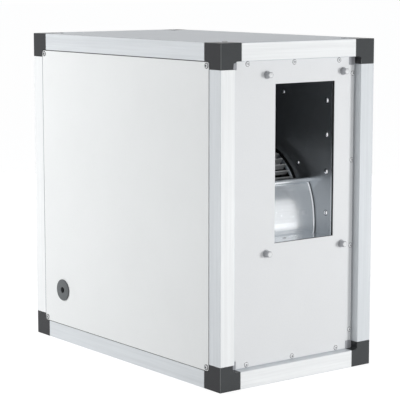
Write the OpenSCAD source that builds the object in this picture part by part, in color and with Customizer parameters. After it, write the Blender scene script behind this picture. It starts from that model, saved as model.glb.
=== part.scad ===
// Boxed centrifugal duct fan: a profile-framed cabinet with sheet panels and a
// narrow double-inlet blower that blows out through the rectangular front opening.
// Millimetres. Origin at the centre of the base, front towards -Y, +Z up.

/* [Cabinet] */
// Width of the cabinet across the outlet side
box_w = 334; // [328:2:400]
// Depth of the cabinet from front to rear
box_d = 565; // [540:5:700]
// Height of the cabinet
box_h = 570; // [562:2:700]
// Depth of the sheet panels behind the frame's face
recess = 15; // [13:0.5:16]
// Thickness of the sheet metal panels
sheet_t = 1.2; // [0.8:0.1:1.6]
// Gap round each flush panel
panel_gap = 1.2; // [0.8:0.1:1.6]
// Corner radius of the flush panels
panel_corner_r = 4.5; // [3:0.5:6]

/* [Frame profile] */
// Side of the square frame profile
rail = 30; // [28:1:31]
// Wall of the frame profile
rail_wall = 1.8; // [1.4:0.1:2.4]
// Rounding of the profile's long edges
rail_edge_r = 1; // [0.5:0.1:1.2]
// Thickness of the fins that carry the panels
fin_t = 1.5; // [1.2:0.1:2]
// Gap between a fin's edge and the corner block's arm
fin_gap = 0.6; // [0.4:0.1:1]
// Reach of a corner block along each edge
block_arm = 43; // [42:0.5:46]
// Thickness of the screw webs in the corner blocks
web_t = 3; // [2.5:0.5:4]
// Fillet between the arms of a corner block
block_fillet_r = 4; // [2:0.5:5]
// Length of the spigots that plug into the profiles
spigot_len = 35; // [25:1:45]
// Clearance of a spigot inside its profile
spigot_fit = 0.3; // [0.1:0.1:0.5]

/* [Fasteners] */
// Radius of a rivet's head
rivet_head_r = 3.8; // [3:0.1:4.5]
// Height of a rivet's head
rivet_head_h = 1.8; // [1.4:0.1:2.2]
// Radius of a rivet's shank
rivet_r = 2; // [1.6:0.1:2.4]
// Radius of the pulled pin's mark in a rivet's head
rivet_pin_r = 1; // [0.8:0.1:1.2]
// Length of a rivet behind its fin
rivet_tail = 3; // [2:0.5:5]
// Distance of the rivets from the profile's edge
rivet_inset = 5.5; // [5:0.5:7]
// Distance of a row's end rivets from the cabinet's side
rivet_side = 67; // [60:1:80]
// Distance of a column's lowest rivet from the cabinet's edge
rivet_low = 64; // [60:1:80]
// Distance of a column's highest rivet from the cabinet's edge
rivet_high = 59; // [56:1:80]
// Radius of a panel screw's head
screw_head_r = 4; // [3.5:0.1:4.5]
// Height of a panel screw's head
screw_head_h = 2.2; // [1.8:0.1:2.6]
// Radius of a panel screw's shank
screw_r = 1.9; // [1.6:0.1:2.2]
// Length of a panel screw behind its web
screw_tail = 2; // [1:0.5:4]
// Distance of the panel screws from the profile's edge
screw_inset = 7; // [6:0.5:8]
// Clearance round rivets and screws in their holes
hole_clear = 0.2; // [0.1:0.05:0.3]

/* [Openings] */
// Distance of the outlet from the cabinet's left side
outlet_left = 126.5; // [124:0.5:130]
// Distance of the outlet from the cabinet's right side
outlet_right = 76.5; // [76:0.5:80]
// Distance of the outlet's upper edge below the cabinet's top
outlet_above = 70.1; // [70.1:0.5:80]
// Drop of the outlet's lower edge below the shaft
outlet_drop = 32; // [28:1:36]
// Distance of the outlet bolts from the outlet's sides
bolt_out = 18.5; // [16:0.5:19]
// Distance of the outlet bolts above and below the outlet
bolt_up = 15.5; // [14:0.5:17]
// Distance of the rear inlet from the cabinet's sides
inlet_side = 67; // [62:1:90]
// Distance of the rear inlet from the cabinet's top and base
inlet_end = 120; // [90:5:180]
// Distance of the duct holes from the inlet's edges
duct_hole_out = 15; // [12:1:16]
// Radius of the duct holes round the inlet
duct_hole_r = 3.25; // [2.5:0.25:3.5]
// Distance of the cable grommet from the rear face
grommet_back = 92.5; // [80:0.5:120]
// Height of the cable grommet above the base
grommet_rise = 97; // [80:1:140]
// Radius of the cable grommet's outer lip
grommet_r = 20; // [17:0.5:22]
// Radius of the cable hole in the grommet
cable_r = 5.5; // [4:0.5:8]
// Thickness of each lip of the cable grommet
grommet_lip = 2.2; // [1.5:0.1:3]
// Radius of the grommet's neck in the panel
grommet_neck_r = 16; // [12:0.5:16.5]

/* [Outlet flange] */
// Width of the outlet flange round the outlet
flange_w = 26.5; // [25:0.5:27]
// Thickness of the outlet flange
flange_t = 1.5; // [1.2:0.1:2]
// Depth of the flange's legs along the blower
flange_leg = 32; // [28:1:36]
// Thickness of the outlet gasket
gasket_t = 4; // [2:0.5:6]
// Radius of the outlet bolts' shanks
bolt_r = 3; // [2.5:0.25:3.5]
// Size of the outlet bolts' heads across their flats
bolt_flats = 11; // [10:0.5:12]
// Height of the outlet bolts' heads
bolt_head_h = 5.5; // [4:0.5:6]
// Radius of the washers under the outlet bolts
washer_r = 8; // [7:0.5:9]
// Thickness of those washers
washer_t = 1.5; // [1:0.1:2]
// Radius of the collars under the outlet bolts
collar_r = 6; // [5:0.5:7]
// Height of those collars
collar_h = 4; // [3:0.5:5]
// Height of the nuts behind the flange
nut_h = 5; // [4:0.5:6]

/* [Blower housing] */
// Distance of the scroll behind the cabinet's front face
scroll_back = 63.5; // [60:0.5:80]
// Distance of the shaft below the cabinet's middle
shaft_down = 19; // [14:1:22]
// Growth of the scroll's radius for each radian
scroll_growth = 0.13; // [0.12:0.005:0.135]
// Step of the scroll towards the impeller at its tongue
tongue_in = 4; // [2:0.5:6]
// Radius of the rolled hem on the tongue
hem_r = 3; // [2:0.5:4]
// Thickness of the scroll's sheet
wrap_t = 1.2; // [1:0.1:1.5]
// Thickness of the side plates
plate_t = 1.2; // [1:0.1:1.5]
// Width of the side plates' edge outside the scroll
plate_lip = 6; // [4:1:8]
// Radius of the dome rivets in the housing
dome_r = 4.6; // [3.5:0.1:5]
// Height of the dome rivets in the housing
dome_h = 2.4; // [2:0.1:3]
// Distance of the front row of dome rivets behind the flange
dome_back = 13; // [10:1:16]
// Distance of the upper dome rivet behind the flange
dome_far = 128; // [120:1:140]
// Distance of the floor's rivets behind the flange
floor_dome_back = 25; // [20:1:25]

/* [Inlet rings] */
// Radius of the inlet rings' bell mouth
bell_r = 14; // [11:0.5:15]
// Width of the inlet rings' flat flange
ring_flange_w = 18; // [16:1:20]
// Thickness of the inlet rings' sheet
ring_t = 1.2; // [1:0.1:1.5]
// Radius of the inlet ring bolts' heads
ring_bolt_r = 3.6; // [3:0.1:4.5]

/* [Impeller] */
// Gap between the impeller's blades and the scroll in front
wheel_gap = 13; // [12:0.5:16]
// Depth of the impeller's blades
blade_depth = 19; // [17:0.5:21]
// Gap between the impeller and each side plate
wheel_side = 15.5; // [15:0.5:20]
// Number of blades
blade_count = 54; // [40:1:56]
// Thickness of a blade
blade_t = 1; // [0.8:0.1:1.4]
// Radius of a blade's bend
blade_bend_r = 17; // [16:0.5:18]
// Distance of the bend's centre in from the blade tips
bend_in = 13; // [12:0.5:14]
// Distance of the bend's centre ahead of the blade
bend_ahead = 13; // [12:0.5:14]
// Width of the end rings along the shaft
end_ring_w = 8; // [6:0.5:10]
// Thickness of the end rings' sheet
end_ring_t = 1.2; // [1:0.1:1.5]
// Width of the end rings' flat lip
end_ring_lip = 7; // [5:0.5:9]
// Thickness of the impeller's centre disc
disc_t = 2; // [1.5:0.1:3]
// Depth of the blade slots in the centre disc
slot_depth = 8; // [6:0.5:10]
// Radius of the hub
hub_r = 16; // [12:1:20]
// Length of the hub
hub_len = 36; // [30:1:40]
// Radius of the shaft
shaft_r = 6; // [5:0.5:7]

/* [Motor] */
// Radius of the motor's shell
motor_r = 62; // [58:1:64]
// Reach of the motor outside the blower's left side
motor_out = 42.5; // [38:0.5:48]
// Wall of the motor's shell
shell_t = 2.5; // [2:0.5:4]
// Thickness of the motor's end shields
shield_t = 12; // [11:0.5:14]
// Chamfer round the motor's end shields
shield_bevel = 4; // [2:0.5:6]
// Gap between the motor and the hub
motor_gap = 6; // [4:0.5:8]
// Radius of the motor's bearings
bearing_r = 16; // [14:0.5:18]
// Width of the motor's bearings
bearing_w = 9; // [8:0.5:10]
// Radius of the rotor
rotor_r = 36; // [32:1:40]
// Air gap round the rotor
air_gap = 0.5; // [0.4:0.1:0.8]
// Gap between the stator and the end shields
core_gap = 5; // [3:0.5:10]
// Length of the shaft past the motor's rear face
shaft_stub = 12; // [8:1:16]
// Width of the belly band round the motor
band_w = 20; // [16:1:24]
// Thickness of the belly band
band_t = 2; // [1.5:0.5:3]
// Width of the motor arms
arm_w = 20; // [16:1:24]
// Thickness of the motor arms
arm_t = 3; // [2:0.5:4]
// Distance of the motor arms' seats outside the inlet ring's hole
arm_seat_out = 8; // [7:0.5:9]
// Radius of the rubber isolators on the motor arms
arm_isolator_r = 8; // [7:0.5:9]
// Length of those isolators
arm_isolator_len = 14; // [10:1:16]

/* [Supports] */
// Length of the blower's feet
foot_len = 240; // [220:5:260]
// Height of the feet above the base
foot_rise = 86; // [84:1:90]
// Width of each leg of the foot angle
foot_leg = 30; // [26:1:32]
// Thickness of the foot angle
foot_t = 2; // [1.5:0.5:3]
// Height of the cross bearers
bearer_h = 32; // [28:1:34]
// Width of the cross bearers
bearer_w = 30; // [26:1:40]
// Wall of the cross bearers
bearer_t = 2; // [1.5:0.5:3]
// Distance between the centres of the cross bearers
bearer_spread = 210; // [180:5:214]
// Radius of the rubber isolators under the feet
foot_isolator_r = 12; // [9:1:13]

/* [Electrics] */
// Size of the terminal box across the cabinet
terminal_w = 70; // [50:5:80]
// Size of the terminal box along the cabinet
terminal_d = 90; // [60:5:100]
// Height of the terminal box
terminal_h = 44; // [36:1:50]
// Height of the terminal box's lid
terminal_lid_h = 8; // [6:1:10]
// Radius of the capacitor
capacitor_r = 19; // [15:1:22]
// Length of the capacitor
capacitor_len = 76; // [60:1:90]
// Distance of the electrics in front of the rear corner blocks
electrics_back = 6; // [3:1:20]
// Distance of the terminal box from the left corner block
terminal_side = 6; // [3:1:16]
// Gap between the terminal box and the capacitor's clip
capacitor_gap = 18; // [10:1:30]
// Thickness of the capacitor's clip
clip_t = 1.5; // [1:0.5:2]
// Width of the capacitor's clip
clip_w = 16; // [12:1:20]

/* [Hidden] */
$fn = 64;

// Overrun of every cut past the face that it opens
cut = 1;
// Clearance of loose fits, such as linings and washers
loose_fit = 0.3;
// Clearance of the shaft in the bearings, hub and rotor
shaft_fit = 0.05;
// Gap between the corner pads and what surrounds them
pad_gap = 0.4;
// Gap between a corner block and the sheet's notch
notch_gap = 1.5;
// Angle of the tongue above the shaft's level
tongue_angle = 28;
// Angle between two points of the scroll
scroll_step = 5;
// Angles where the cutoff plate's lip follows the scroll
lip_angles = [10, 35];
// Angle where the side plates leave the scroll for the outlet's floor
plate_angle = 20;
// Heights of the front dome rivets, as shares of the outlet's height
dome_shares = [0.14, 0.41, 0.65, 0.87];
// Height of the upper dome rivet, as a share of the outlet's height
high_dome_share = 0.9;
// Places of the floor rivets, as shares of the outlet's width
floor_dome_shares = [0.37, 0.87];
// Size of a floor rivet, as a share of a dome rivet
floor_dome_share = 0.7;
// Angles of the inlet ring bolts and of the motor arms
ring_bolt_angles = [45, 135, 225, 315];
arm_angles = [90, 210, 330];
// Places of the feet's rivets, as shares of the feet's length
foot_rivet_shares = [0.1, 0.9];

half_w = box_w / 2;
half_d = box_d / 2;
panel_depth = recess + sheet_t;
fin_len = block_arm - rail - fin_gap;
// Scroll, from the height that the cabinet leaves above the shaft
shaft_rise = box_h / 2 - shaft_down;
scroll_lean = atan(scroll_growth);
scroll_end = 270 - scroll_lean;
scroll_top = box_h - shaft_rise - outlet_above;
scroll_r = scroll_top / exp(scroll_growth * scroll_end * PI / 180) / cos(scroll_lean);
tongue_r = scroll_r - tongue_in;
wheel_y = -half_d + scroll_back + scroll_r;
flange_y = -half_d + panel_depth + gasket_t;
housing_y = flange_y + flange_t;
// Blower's front edge and outlet, seen from the shaft
front_reach = housing_y - wheel_y;
outlet_w = box_w - outlet_left - outlet_right;
outlet_x = (outlet_left - outlet_right) / 2;
outlet_h = scroll_top + outlet_drop;
outlet_z = shaft_rise + (scroll_top - outlet_drop) / 2;
left_x = outlet_x - outlet_w / 2;
right_x = outlet_x + outlet_w / 2;
inlet_w = box_w - 2 * inlet_side;
inlet_h = box_h - 2 * inlet_end;
wheel_w = outlet_w - 2 * wheel_side;
wheel_x = outlet_x - wheel_w / 2;
blade_tip_r = scroll_r - wheel_gap;
blade_root_r = blade_tip_r - blade_depth;
// The inlet rings' throat is as wide as the blades' inner edges
ring_hole_r = blade_root_r + bell_r;
ring_outer_r = ring_hole_r + ring_flange_w;
arm_seat_r = ring_hole_r + arm_seat_out;
motor_front_x = outlet_x - hub_len / 2 - motor_gap;
motor_x = left_x - motor_out;
motor_len = motor_front_x - motor_x;
core_len = motor_len - 2 * (shield_t + core_gap);
ring_face_x = left_x - plate_t - ring_t;
arm_x = ring_face_x - arm_isolator_len - arm_t;
floor_z = panel_depth;

// General shapes

// Rectangle with true round corners, centred
module rounded_rect(size, r) {
    square([size.x - 2 * r, size.y], center = true);
    square([size.x, size.y - 2 * r], center = true);
    for (sx = [-1, 1], sy = [-1, 1])
        translate([sx * (size.x / 2 - r), sy * (size.y / 2 - r)]) circle(r);
}

// Flat ring
module ring(outer_r, inner_r, h) {
    linear_extrude(h) difference() {
        circle(outer_r);
        circle(inner_r);
    }
}

// Low spherical cap that stands on its flat face
module dome(r, h) {
    sphere_r = (r * r + h * h) / (2 * h);
    rotate_extrude() intersection() {
        translate([0, h - sphere_r]) circle(sphere_r);
        square([r, h]);
    }
}

module hexagon(flats, h) {
    cylinder(r = flats / sqrt(3), h = h, $fn = 6);
}

// Evenly spread places from first to last
function spread(first, last, count) =
    [for (i = [0 : count - 1]) first + (last - first) * i / (count - 1)];

// Places in the cabinet

// Moves a front, left, bottom piece to another side of the cabinet
module mirrored(right, rear, top) {
    translate([0, 0, top * box_h]) mirror([0, 0, top])
        mirror([0, rear, 0]) mirror([right, 0, 0]) children();
}

// Size of each face of the cabinet
function face_size(face) =
    face == "front" || face == "rear" ? [box_w, box_h] :
    face == "left" || face == "right" ? [box_d, box_h] : [box_w, box_d];

// Turns a face's own plane into place: X across, Y up, Z outwards, from the face's centre
module on_face(face) {
    if (face == "front") translate([0, -half_d, box_h / 2]) rotate([90, 0, 0]) children();
    if (face == "rear") translate([0, half_d, box_h / 2]) rotate([90, 0, 180]) children();
    if (face == "left") translate([-half_w, 0, box_h / 2]) rotate([90, 0, -90]) children();
    if (face == "right") translate([half_w, 0, box_h / 2]) rotate([90, 0, 90]) children();
    if (face == "top") translate([0, 0, box_h]) children();
    if (face == "bottom") rotate([180, 0, 0]) children();
}

// Rivets along the four edges of a sheet panel
function rivet_places(face) =
    let (s = face_size(face),
         edge_x = s.x / 2 - rail - rivet_inset,
         edge_y = s.y / 2 - rail - rivet_inset,
         row = s.x / 2 - rivet_side)
    concat(
        [for (x = spread(-row, row, 3), side = [-1, 1]) [x, side * edge_y]],
        [for (y = spread(-s.y / 2 + rivet_low, s.y / 2 - rivet_high, 4), side = [-1, 1])
            [side * edge_x, y]]
    );

// Screws in the four corners of a flush panel
function screw_places(face) =
    let (s = face_size(face), x = s.x / 2 - rail - screw_inset, y = s.y / 2 - rail - screw_inset)
    [[-x, -y], [x, -y], [-x, y], [x, y]];

module at_places(face, places) {
    on_face(face) for (p = places) translate([p.x, p.y, 0]) children();
}

// Every rivet and screw hole of the frame and its panels
module panel_holes() {
    rivet_deep = panel_depth + fin_t + cut;
    for (face = ["front", "rear", "bottom"])
        at_places(face, rivet_places(face)) translate([0, 0, -rivet_deep])
            cylinder(r = rivet_r + hole_clear, h = rivet_deep);
    screw_deep = panel_depth + web_t + screw_tail + cut;
    for (face = ["left", "right", "top"])
        at_places(face, screw_places(face)) translate([0, 0, -screw_deep])
            cylinder(r = screw_r + hole_clear, h = screw_deep + cut);
}

module drilled() {
    difference() {
        children();
        panel_holes();
    }
}

// Frame

// Square tube with a fin for each of the two panels that meet at its edge
module profile_section() {
    difference() {
        union() {
            translate([rail / 2, rail / 2]) rounded_rect([rail, rail], rail_edge_r);
            translate([rail - rail_wall, panel_depth]) square([fin_len + rail_wall, fin_t]);
            translate([panel_depth, rail - rail_wall]) square([fin_t, fin_len + rail_wall]);
        }
        translate([rail_wall, rail_wall]) square(rail - 2 * rail_wall);
    }
}

module post(right, rear) {
    color("gainsboro") drilled() mirrored(right, rear, 0)
        translate([-half_w, -half_d, block_arm]) linear_extrude(box_h - 2 * block_arm) profile_section();
}

module cross_rail(rear, top) {
    color("gainsboro") drilled() mirrored(0, rear, top)
        translate([-half_w + block_arm, -half_d, 0]) rotate([90, 0, 90])
            linear_extrude(box_w - 2 * block_arm) profile_section();
}

module side_rail(right, top) {
    color("gainsboro") drilled() mirrored(right, 0, top)
        translate([-half_w, half_d - block_arm, 0]) rotate([90, 0, 0])
            linear_extrude(box_d - 2 * block_arm) profile_section();
}

module post_front_left() post(0, 0);
module post_front_right() post(1, 0);
module post_rear_left() post(0, 1);
module post_rear_right() post(1, 1);
module rail_bottom_front() cross_rail(0, 0);
module rail_bottom_rear() cross_rail(1, 0);
module rail_top_front() cross_rail(0, 1);
module rail_top_rear() cross_rail(1, 1);
module rail_bottom_left() side_rail(0, 0);
module rail_bottom_right() side_rail(1, 0);
module rail_top_left() side_rail(0, 1);
module rail_top_right() side_rail(1, 1);

// One arm along +Z with its spigot, and the screw web and fillet beside it in the XY plane
module block_arm_z() {
    plug = rail - 2 * rail_wall - 2 * spigot_fit;
    plug_at = (rail - plug) / 2;
    cube([rail, rail, block_arm]);
    translate([plug_at, plug_at, rail]) cube([plug, plug, block_arm - rail + spigot_len]);
    translate([rail_wall, rail_wall, panel_depth])
        cube([block_arm - rail_wall, block_arm - rail_wall, web_t]);
    translate([rail, rail, 0]) linear_extrude(recess) difference() {
        square(block_fillet_r);
        translate([block_fillet_r, block_fillet_r]) circle(block_fillet_r);
    }
}

module corner_block(right, rear, top) {
    color("dimgray") drilled() mirrored(right, rear, top) translate([-half_w, -half_d, 0]) union() {
        block_arm_z();
        rotate([90, 0, 90]) block_arm_z();
        rotate([0, -90, -90]) block_arm_z();
    }
}

module corner_block_1() corner_block(0, 0, 0);
module corner_block_2() corner_block(1, 0, 0);
module corner_block_3() corner_block(0, 1, 0);
module corner_block_4() corner_block(1, 1, 0);
module corner_block_5() corner_block(0, 0, 1);
module corner_block_6() corner_block(1, 0, 1);
module corner_block_7() corner_block(0, 1, 1);
module corner_block_8() corner_block(1, 1, 1);

// Foam pads that fill the notches of the sheet panels, on the blocks' webs
module corner_pads() {
    pad = block_arm + notch_gap - rail - 2 * pad_gap;
    color("darkgray") for (face = ["front", "rear", "bottom"]) {
        s = face_size(face);
        on_face(face) for (sx = [-1, 1], sy = [-1, 1])
            translate([sx * (s.x / 2 - rail - pad_gap - pad / 2), sy * (s.y / 2 - rail - pad_gap - pad / 2),
                       -panel_depth])
                linear_extrude(sheet_t) square(pad, center = true);
    }
}

// Panels

// Sheet inside the frame, notched round the corner blocks
module sheet_panel(face) {
    s = face_size(face);
    inner = s - 2 * (rail + panel_gap) * [1, 1];
    notch = block_arm + notch_gap;
    on_face(face) translate([0, 0, -panel_depth]) linear_extrude(sheet_t) difference() {
        square(inner, center = true);
        for (sx = [-1, 1], sy = [-1, 1])
            translate([sx * s.x / 2, sy * s.y / 2]) square(2 * notch, center = true);
    }
}

// Shallow tray that lies flush with the frame and rests on its fins
module tray_panel(face) {
    outer = face_size(face) - 2 * (rail + panel_gap) * [1, 1];
    inner = outer - 2 * sheet_t * [1, 1];
    on_face(face) translate([0, 0, -panel_depth]) difference() {
        linear_extrude(panel_depth) rounded_rect(outer, panel_corner_r);
        translate([0, 0, -cut]) linear_extrude(recess + cut) rounded_rect(inner, panel_corner_r - sheet_t);
    }
}

// Foam board that fills a tray
module tray_lining(face) {
    board = face_size(face) - 2 * (rail + panel_gap + sheet_t + loose_fit) * [1, 1];
    on_face(face) translate([0, 0, -panel_depth])
        linear_extrude(recess) rounded_rect(board, panel_corner_r - sheet_t);
}

module outlet_hole(h) {
    on_face("front") translate([outlet_x, outlet_z - box_h / 2, -h])
        linear_extrude(h) square([outlet_w, outlet_h], center = true);
}

// Children at the four outlet bolts, Z outwards from the cabinet's front face
module at_outlet_bolts() {
    x = outlet_w / 2 + bolt_out;
    y = outlet_h / 2 + bolt_up;
    on_face("front") for (sx = [-1, 1], sy = [-1, 1])
        translate([outlet_x + sx * x, outlet_z - box_h / 2 + sy * y, 0]) children();
}

module outlet_bolt_holes() {
    deep = panel_depth + gasket_t + flange_t + cut;
    at_outlet_bolts() translate([0, 0, -deep]) cylinder(r = bolt_r + hole_clear, h = deep);
}

module front_panel() {
    color("whitesmoke") difference() {
        drilled() sheet_panel("front");
        outlet_hole(panel_depth + cut);
        outlet_bolt_holes();
    }
}

module rear_panel() {
    hole_x = inlet_w / 2 + duct_hole_out;
    hole_z = inlet_h / 2 + duct_hole_out;
    color("whitesmoke") difference() {
        drilled() sheet_panel("rear");
        on_face("rear") translate([0, 0, -panel_depth - cut]) linear_extrude(panel_depth + cut) {
            square([inlet_w, inlet_h], center = true);
            for (sx = [-1, 1], sy = [-1, 1]) translate([sx * hole_x, sy * hole_z]) circle(duct_hole_r);
        }
    }
}

module bottom_panel() {
    color("whitesmoke") drilled() sheet_panel("bottom");
}

module top_panel() {
    color("lightsteelblue") drilled() tray_panel("top");
}

module right_panel() {
    color("whitesmoke") drilled() tray_panel("right");
}

module panel_linings() {
    color("dimgray") for (face = ["top", "right"]) drilled() tray_lining(face);
}

// Children at the grommet's place on the left face, Z outwards
module at_grommet() {
    on_face("left") translate([-half_d + grommet_back, grommet_rise - box_h / 2, 0]) children();
}

module access_panel() {
    color("whitesmoke") difference() {
        drilled() tray_panel("left");
        at_grommet() translate([0, 0, -panel_depth])
            cylinder(r = grommet_neck_r + hole_clear, h = panel_depth + cut);
    }
}

module access_lining() {
    color("dimgray") difference() {
        drilled() tray_lining("left");
        at_grommet() translate([0, 0, -panel_depth - cut])
            cylinder(r = grommet_r + loose_fit, h = panel_depth + cut);
    }
}

// Rubber ring with a groove that holds the panel's sheet
module cable_grommet() {
    lip_edge_r = grommet_lip / 2;
    color("gray") at_grommet() rotate_extrude() difference() {
        union() {
            square([grommet_r - lip_edge_r, grommet_lip]);
            translate([grommet_r - lip_edge_r, lip_edge_r]) circle(lip_edge_r);
            translate([0, -sheet_t - grommet_lip]) square([grommet_neck_r, sheet_t + grommet_lip + lip_edge_r]);
            translate([0, -sheet_t - grommet_lip]) square([grommet_r - lip_edge_r, grommet_lip]);
        }
        translate([0, -sheet_t - grommet_lip - cut])
            square([cable_r, sheet_t + 2 * grommet_lip + 2 * cut]);
    }
}

// Fasteners

module rivet() {
    difference() {
        dome(rivet_head_r, rivet_head_h);
        translate([0, 0, rivet_head_h / 2]) cylinder(r = rivet_pin_r, h = rivet_head_h);
    }
    grip = sheet_t + fin_t + rivet_tail;
    translate([0, 0, -grip]) cylinder(r = rivet_r, h = grip);
}

module sheet_rivets() {
    color("silver") for (face = ["front", "rear", "bottom"])
        at_places(face, rivet_places(face)) translate([0, 0, -recess]) rivet();
}

module panel_screw() {
    long = panel_depth + web_t + screw_tail;
    dome(screw_head_r, screw_head_h);
    translate([0, 0, -long]) cylinder(r = screw_r, h = long);
}

module panel_screws() {
    color("silver") for (face = ["top", "right"]) at_places(face, screw_places(face)) panel_screw();
}

module access_screws() {
    color("silver") at_places("left", screw_places("left")) panel_screw();
}

// Bolt, collar, washer and nut at each corner of the outlet
module outlet_bolts() {
    stack = washer_t + collar_h;
    behind = sheet_t + gasket_t + flange_t;
    color("silver") at_outlet_bolts() translate([0, 0, -recess]) {
        ring(washer_r, bolt_r + hole_clear, washer_t);
        translate([0, 0, washer_t]) ring(collar_r, bolt_r + hole_clear, collar_h);
        translate([0, 0, stack]) hexagon(bolt_flats, bolt_head_h);
        translate([0, 0, -behind - nut_h]) cylinder(r = bolt_r, h = behind + nut_h + stack);
        translate([0, 0, -behind - nut_h]) difference() {
            hexagon(bolt_flats, nut_h);
            translate([0, 0, -cut]) cylinder(r = bolt_r + shaft_fit, h = nut_h + 2 * cut);
        }
    }
}

// Outlet frame, drawn in the front face's plane
module outlet_frame(h) {
    linear_extrude(h) difference() {
        square([outlet_w + 2 * flange_w, outlet_h + 2 * flange_w], center = true);
        square([outlet_w, outlet_h], center = true);
    }
}

module outlet_gasket() {
    color("black") difference() {
        translate([outlet_x, flange_y, outlet_z]) rotate([90, 0, 0]) outlet_frame(gasket_t);
        outlet_bolt_holes();
    }
}

// Angle frame: a face against the gasket and legs along the outside of the blower
module outlet_flange() {
    plate_x = outlet_w / 2 + plate_t;
    leg_long = outlet_h + 2 * (wrap_t + plate_lip);
    color("silver") difference() {
        translate([outlet_x, housing_y, outlet_z]) {
            rotate([90, 0, 0]) outlet_frame(flange_t);
            for (side = [-1, 1]) {
                translate([side * (plate_x + flange_t / 2), flange_leg / 2, 0])
                    cube([flange_t, flange_leg, leg_long], center = true);
                translate([0, flange_leg / 2, side * (outlet_h / 2 + wrap_t + flange_t / 2)])
                    cube([outlet_w, flange_leg, flange_t], center = true);
            }
        }
        outlet_bolt_holes();
        plate_dome_holes();
        floor_dome_holes();
    }
}

// Blower housing

// Plane of the scroll: X to the rear and Y up, seen from the shaft, drawn out along the shaft
module on_shaft(x) {
    translate([x, wheel_y, shaft_rise]) rotate([90, 0, 90]) children();
}

// Radius of the scroll: 0 is in front of the shaft, 90 below it, 180 behind it
function scroll_radius(angle) =
    angle < 0 ? scroll_r + (tongue_r - scroll_r) * -angle / tongue_angle
              : scroll_r * exp(scroll_growth * angle * PI / 180);

function scroll_point(angle, out = 0) = (scroll_radius(angle) + out) * [-cos(angle), -sin(angle)];

// Points of the scroll between two angles
function scroll_path(from, to, out = 0) =
    [for (angle = [from : scroll_step : to]) scroll_point(angle, out)];

// Whole scroll, from the tongue to the flat top
function scroll_line(out) = concat(
    [scroll_point(-tongue_angle, out)],
    scroll_path(-tongue_angle + tongue_angle % scroll_step, scroll_end - scroll_step / 2, out),
    [[-cos(scroll_end) / -sin(scroll_end) * scroll_top, scroll_top + out], [front_reach, scroll_top + out]]
);

module scroll_wrap() {
    inner = scroll_line(0);
    outer = scroll_line(wrap_t);
    color("silver") on_shaft(left_x) union() {
        linear_extrude(outlet_w)
            polygon(concat(inner, [for (i = [len(outer) - 1 : -1 : 0]) outer[i]]));
        translate(scroll_point(-tongue_angle, hem_r / 2)) cylinder(r = hem_r, h = outlet_w);
    }
}

// Floor of the outlet, with a lip that follows the scroll down
module cutoff_plate() {
    lip_out = scroll_path(lip_angles[0], lip_angles[1], 2 * wrap_t);
    lip_in = scroll_path(lip_angles[0], lip_angles[1], wrap_t);
    color("silver") difference() {
        on_shaft(left_x) linear_extrude(outlet_w) {
            difference() {
                translate([front_reach, -outlet_drop - wrap_t])
                    square([-front_reach - scroll_r / 2, wrap_t]);
                polygon(concat([[0, 0]], scroll_path(0, lip_angles[1], wrap_t)));
            }
            intersection() {
                polygon(concat(lip_out, [for (i = [len(lip_in) - 1 : -1 : 0]) lip_in[i]]));
                translate([front_reach, -outlet_drop - scroll_r]) square([-front_reach, scroll_r]);
            }
        }
        floor_dome_holes();
    }
}

module side_plate(x) {
    edge = wrap_t + plate_lip;
    top = scroll_top + edge;
    color("silver") difference() {
        on_shaft(x) linear_extrude(plate_t) difference() {
            union() {
                polygon(concat(
                    scroll_path(plate_angle, scroll_end, edge),
                    [[0, top], [front_reach, top], [front_reach, -outlet_drop - edge]]
                ));
                translate([-foot_len / 2, foot_rise - shaft_rise]) square([foot_len, foot_leg + scroll_r / 2]);
            }
            circle(ring_hole_r);
        }
        plate_dome_holes();
        foot_rivet_holes();
        ring_bolt_holes();
    }
}

module side_plate_left() side_plate(left_x - plate_t);
module side_plate_right() side_plate(right_x);

// Children at the dome rivets of both side plates, Z into the blower
module at_plate_domes() {
    places = concat(
        [for (share = dome_shares) [front_reach + dome_back, share * outlet_h - outlet_drop]],
        [[front_reach + dome_far, high_dome_share * outlet_h - outlet_drop]]
    );
    for (p = places) {
        on_shaft(left_x) translate([p.x, p.y, 0]) children();
        on_shaft(right_x) translate([p.x, p.y, 0]) mirror([0, 0, 1]) children();
    }
}

module plate_dome_holes() {
    deep = plate_t + flange_t + cut;
    at_plate_domes() translate([0, 0, -deep]) cylinder(r = rivet_r + hole_clear, h = deep + cut);
}

// Children at the rivets in the outlet's floor, Z up
module at_floor_domes() {
    for (share = floor_dome_shares)
        translate([left_x + share * outlet_w, housing_y + floor_dome_back, shaft_rise - outlet_drop])
            children();
}

module floor_dome_holes() {
    deep = wrap_t + flange_t + cut;
    at_floor_domes() translate([0, 0, -deep]) cylinder(r = rivet_r + hole_clear, h = deep + cut);
}

// Children at the rivets of both feet, Z away from the blower
module at_foot_rivets() {
    for (share = foot_rivet_shares) {
        place = [(share - 1 / 2) * foot_len, foot_rise + foot_leg / 2 - shaft_rise, 0];
        on_shaft(left_x - plate_t - foot_t) translate(place) mirror([0, 0, 1]) children();
        on_shaft(right_x + plate_t + foot_t) translate(place) children();
    }
}

module foot_rivet_holes() {
    deep = plate_t + foot_t + cut;
    at_foot_rivets() translate([0, 0, -deep]) cylinder(r = rivet_r + hole_clear, h = deep + cut);
}

module dome_rivet(scale_share, grip) {
    dome(dome_r * scale_share, dome_h * scale_share);
    translate([0, 0, -grip]) cylinder(r = rivet_r, h = grip);
}

module housing_rivets() {
    color("silver") {
        at_plate_domes() dome_rivet(1, plate_t + flange_t + rivet_tail / 2);
        at_floor_domes() dome_rivet(floor_dome_share, wrap_t + flange_t + rivet_tail / 2);
        at_foot_rivets() dome_rivet(1, plate_t + foot_t + rivet_tail / 2);
    }
}

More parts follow.
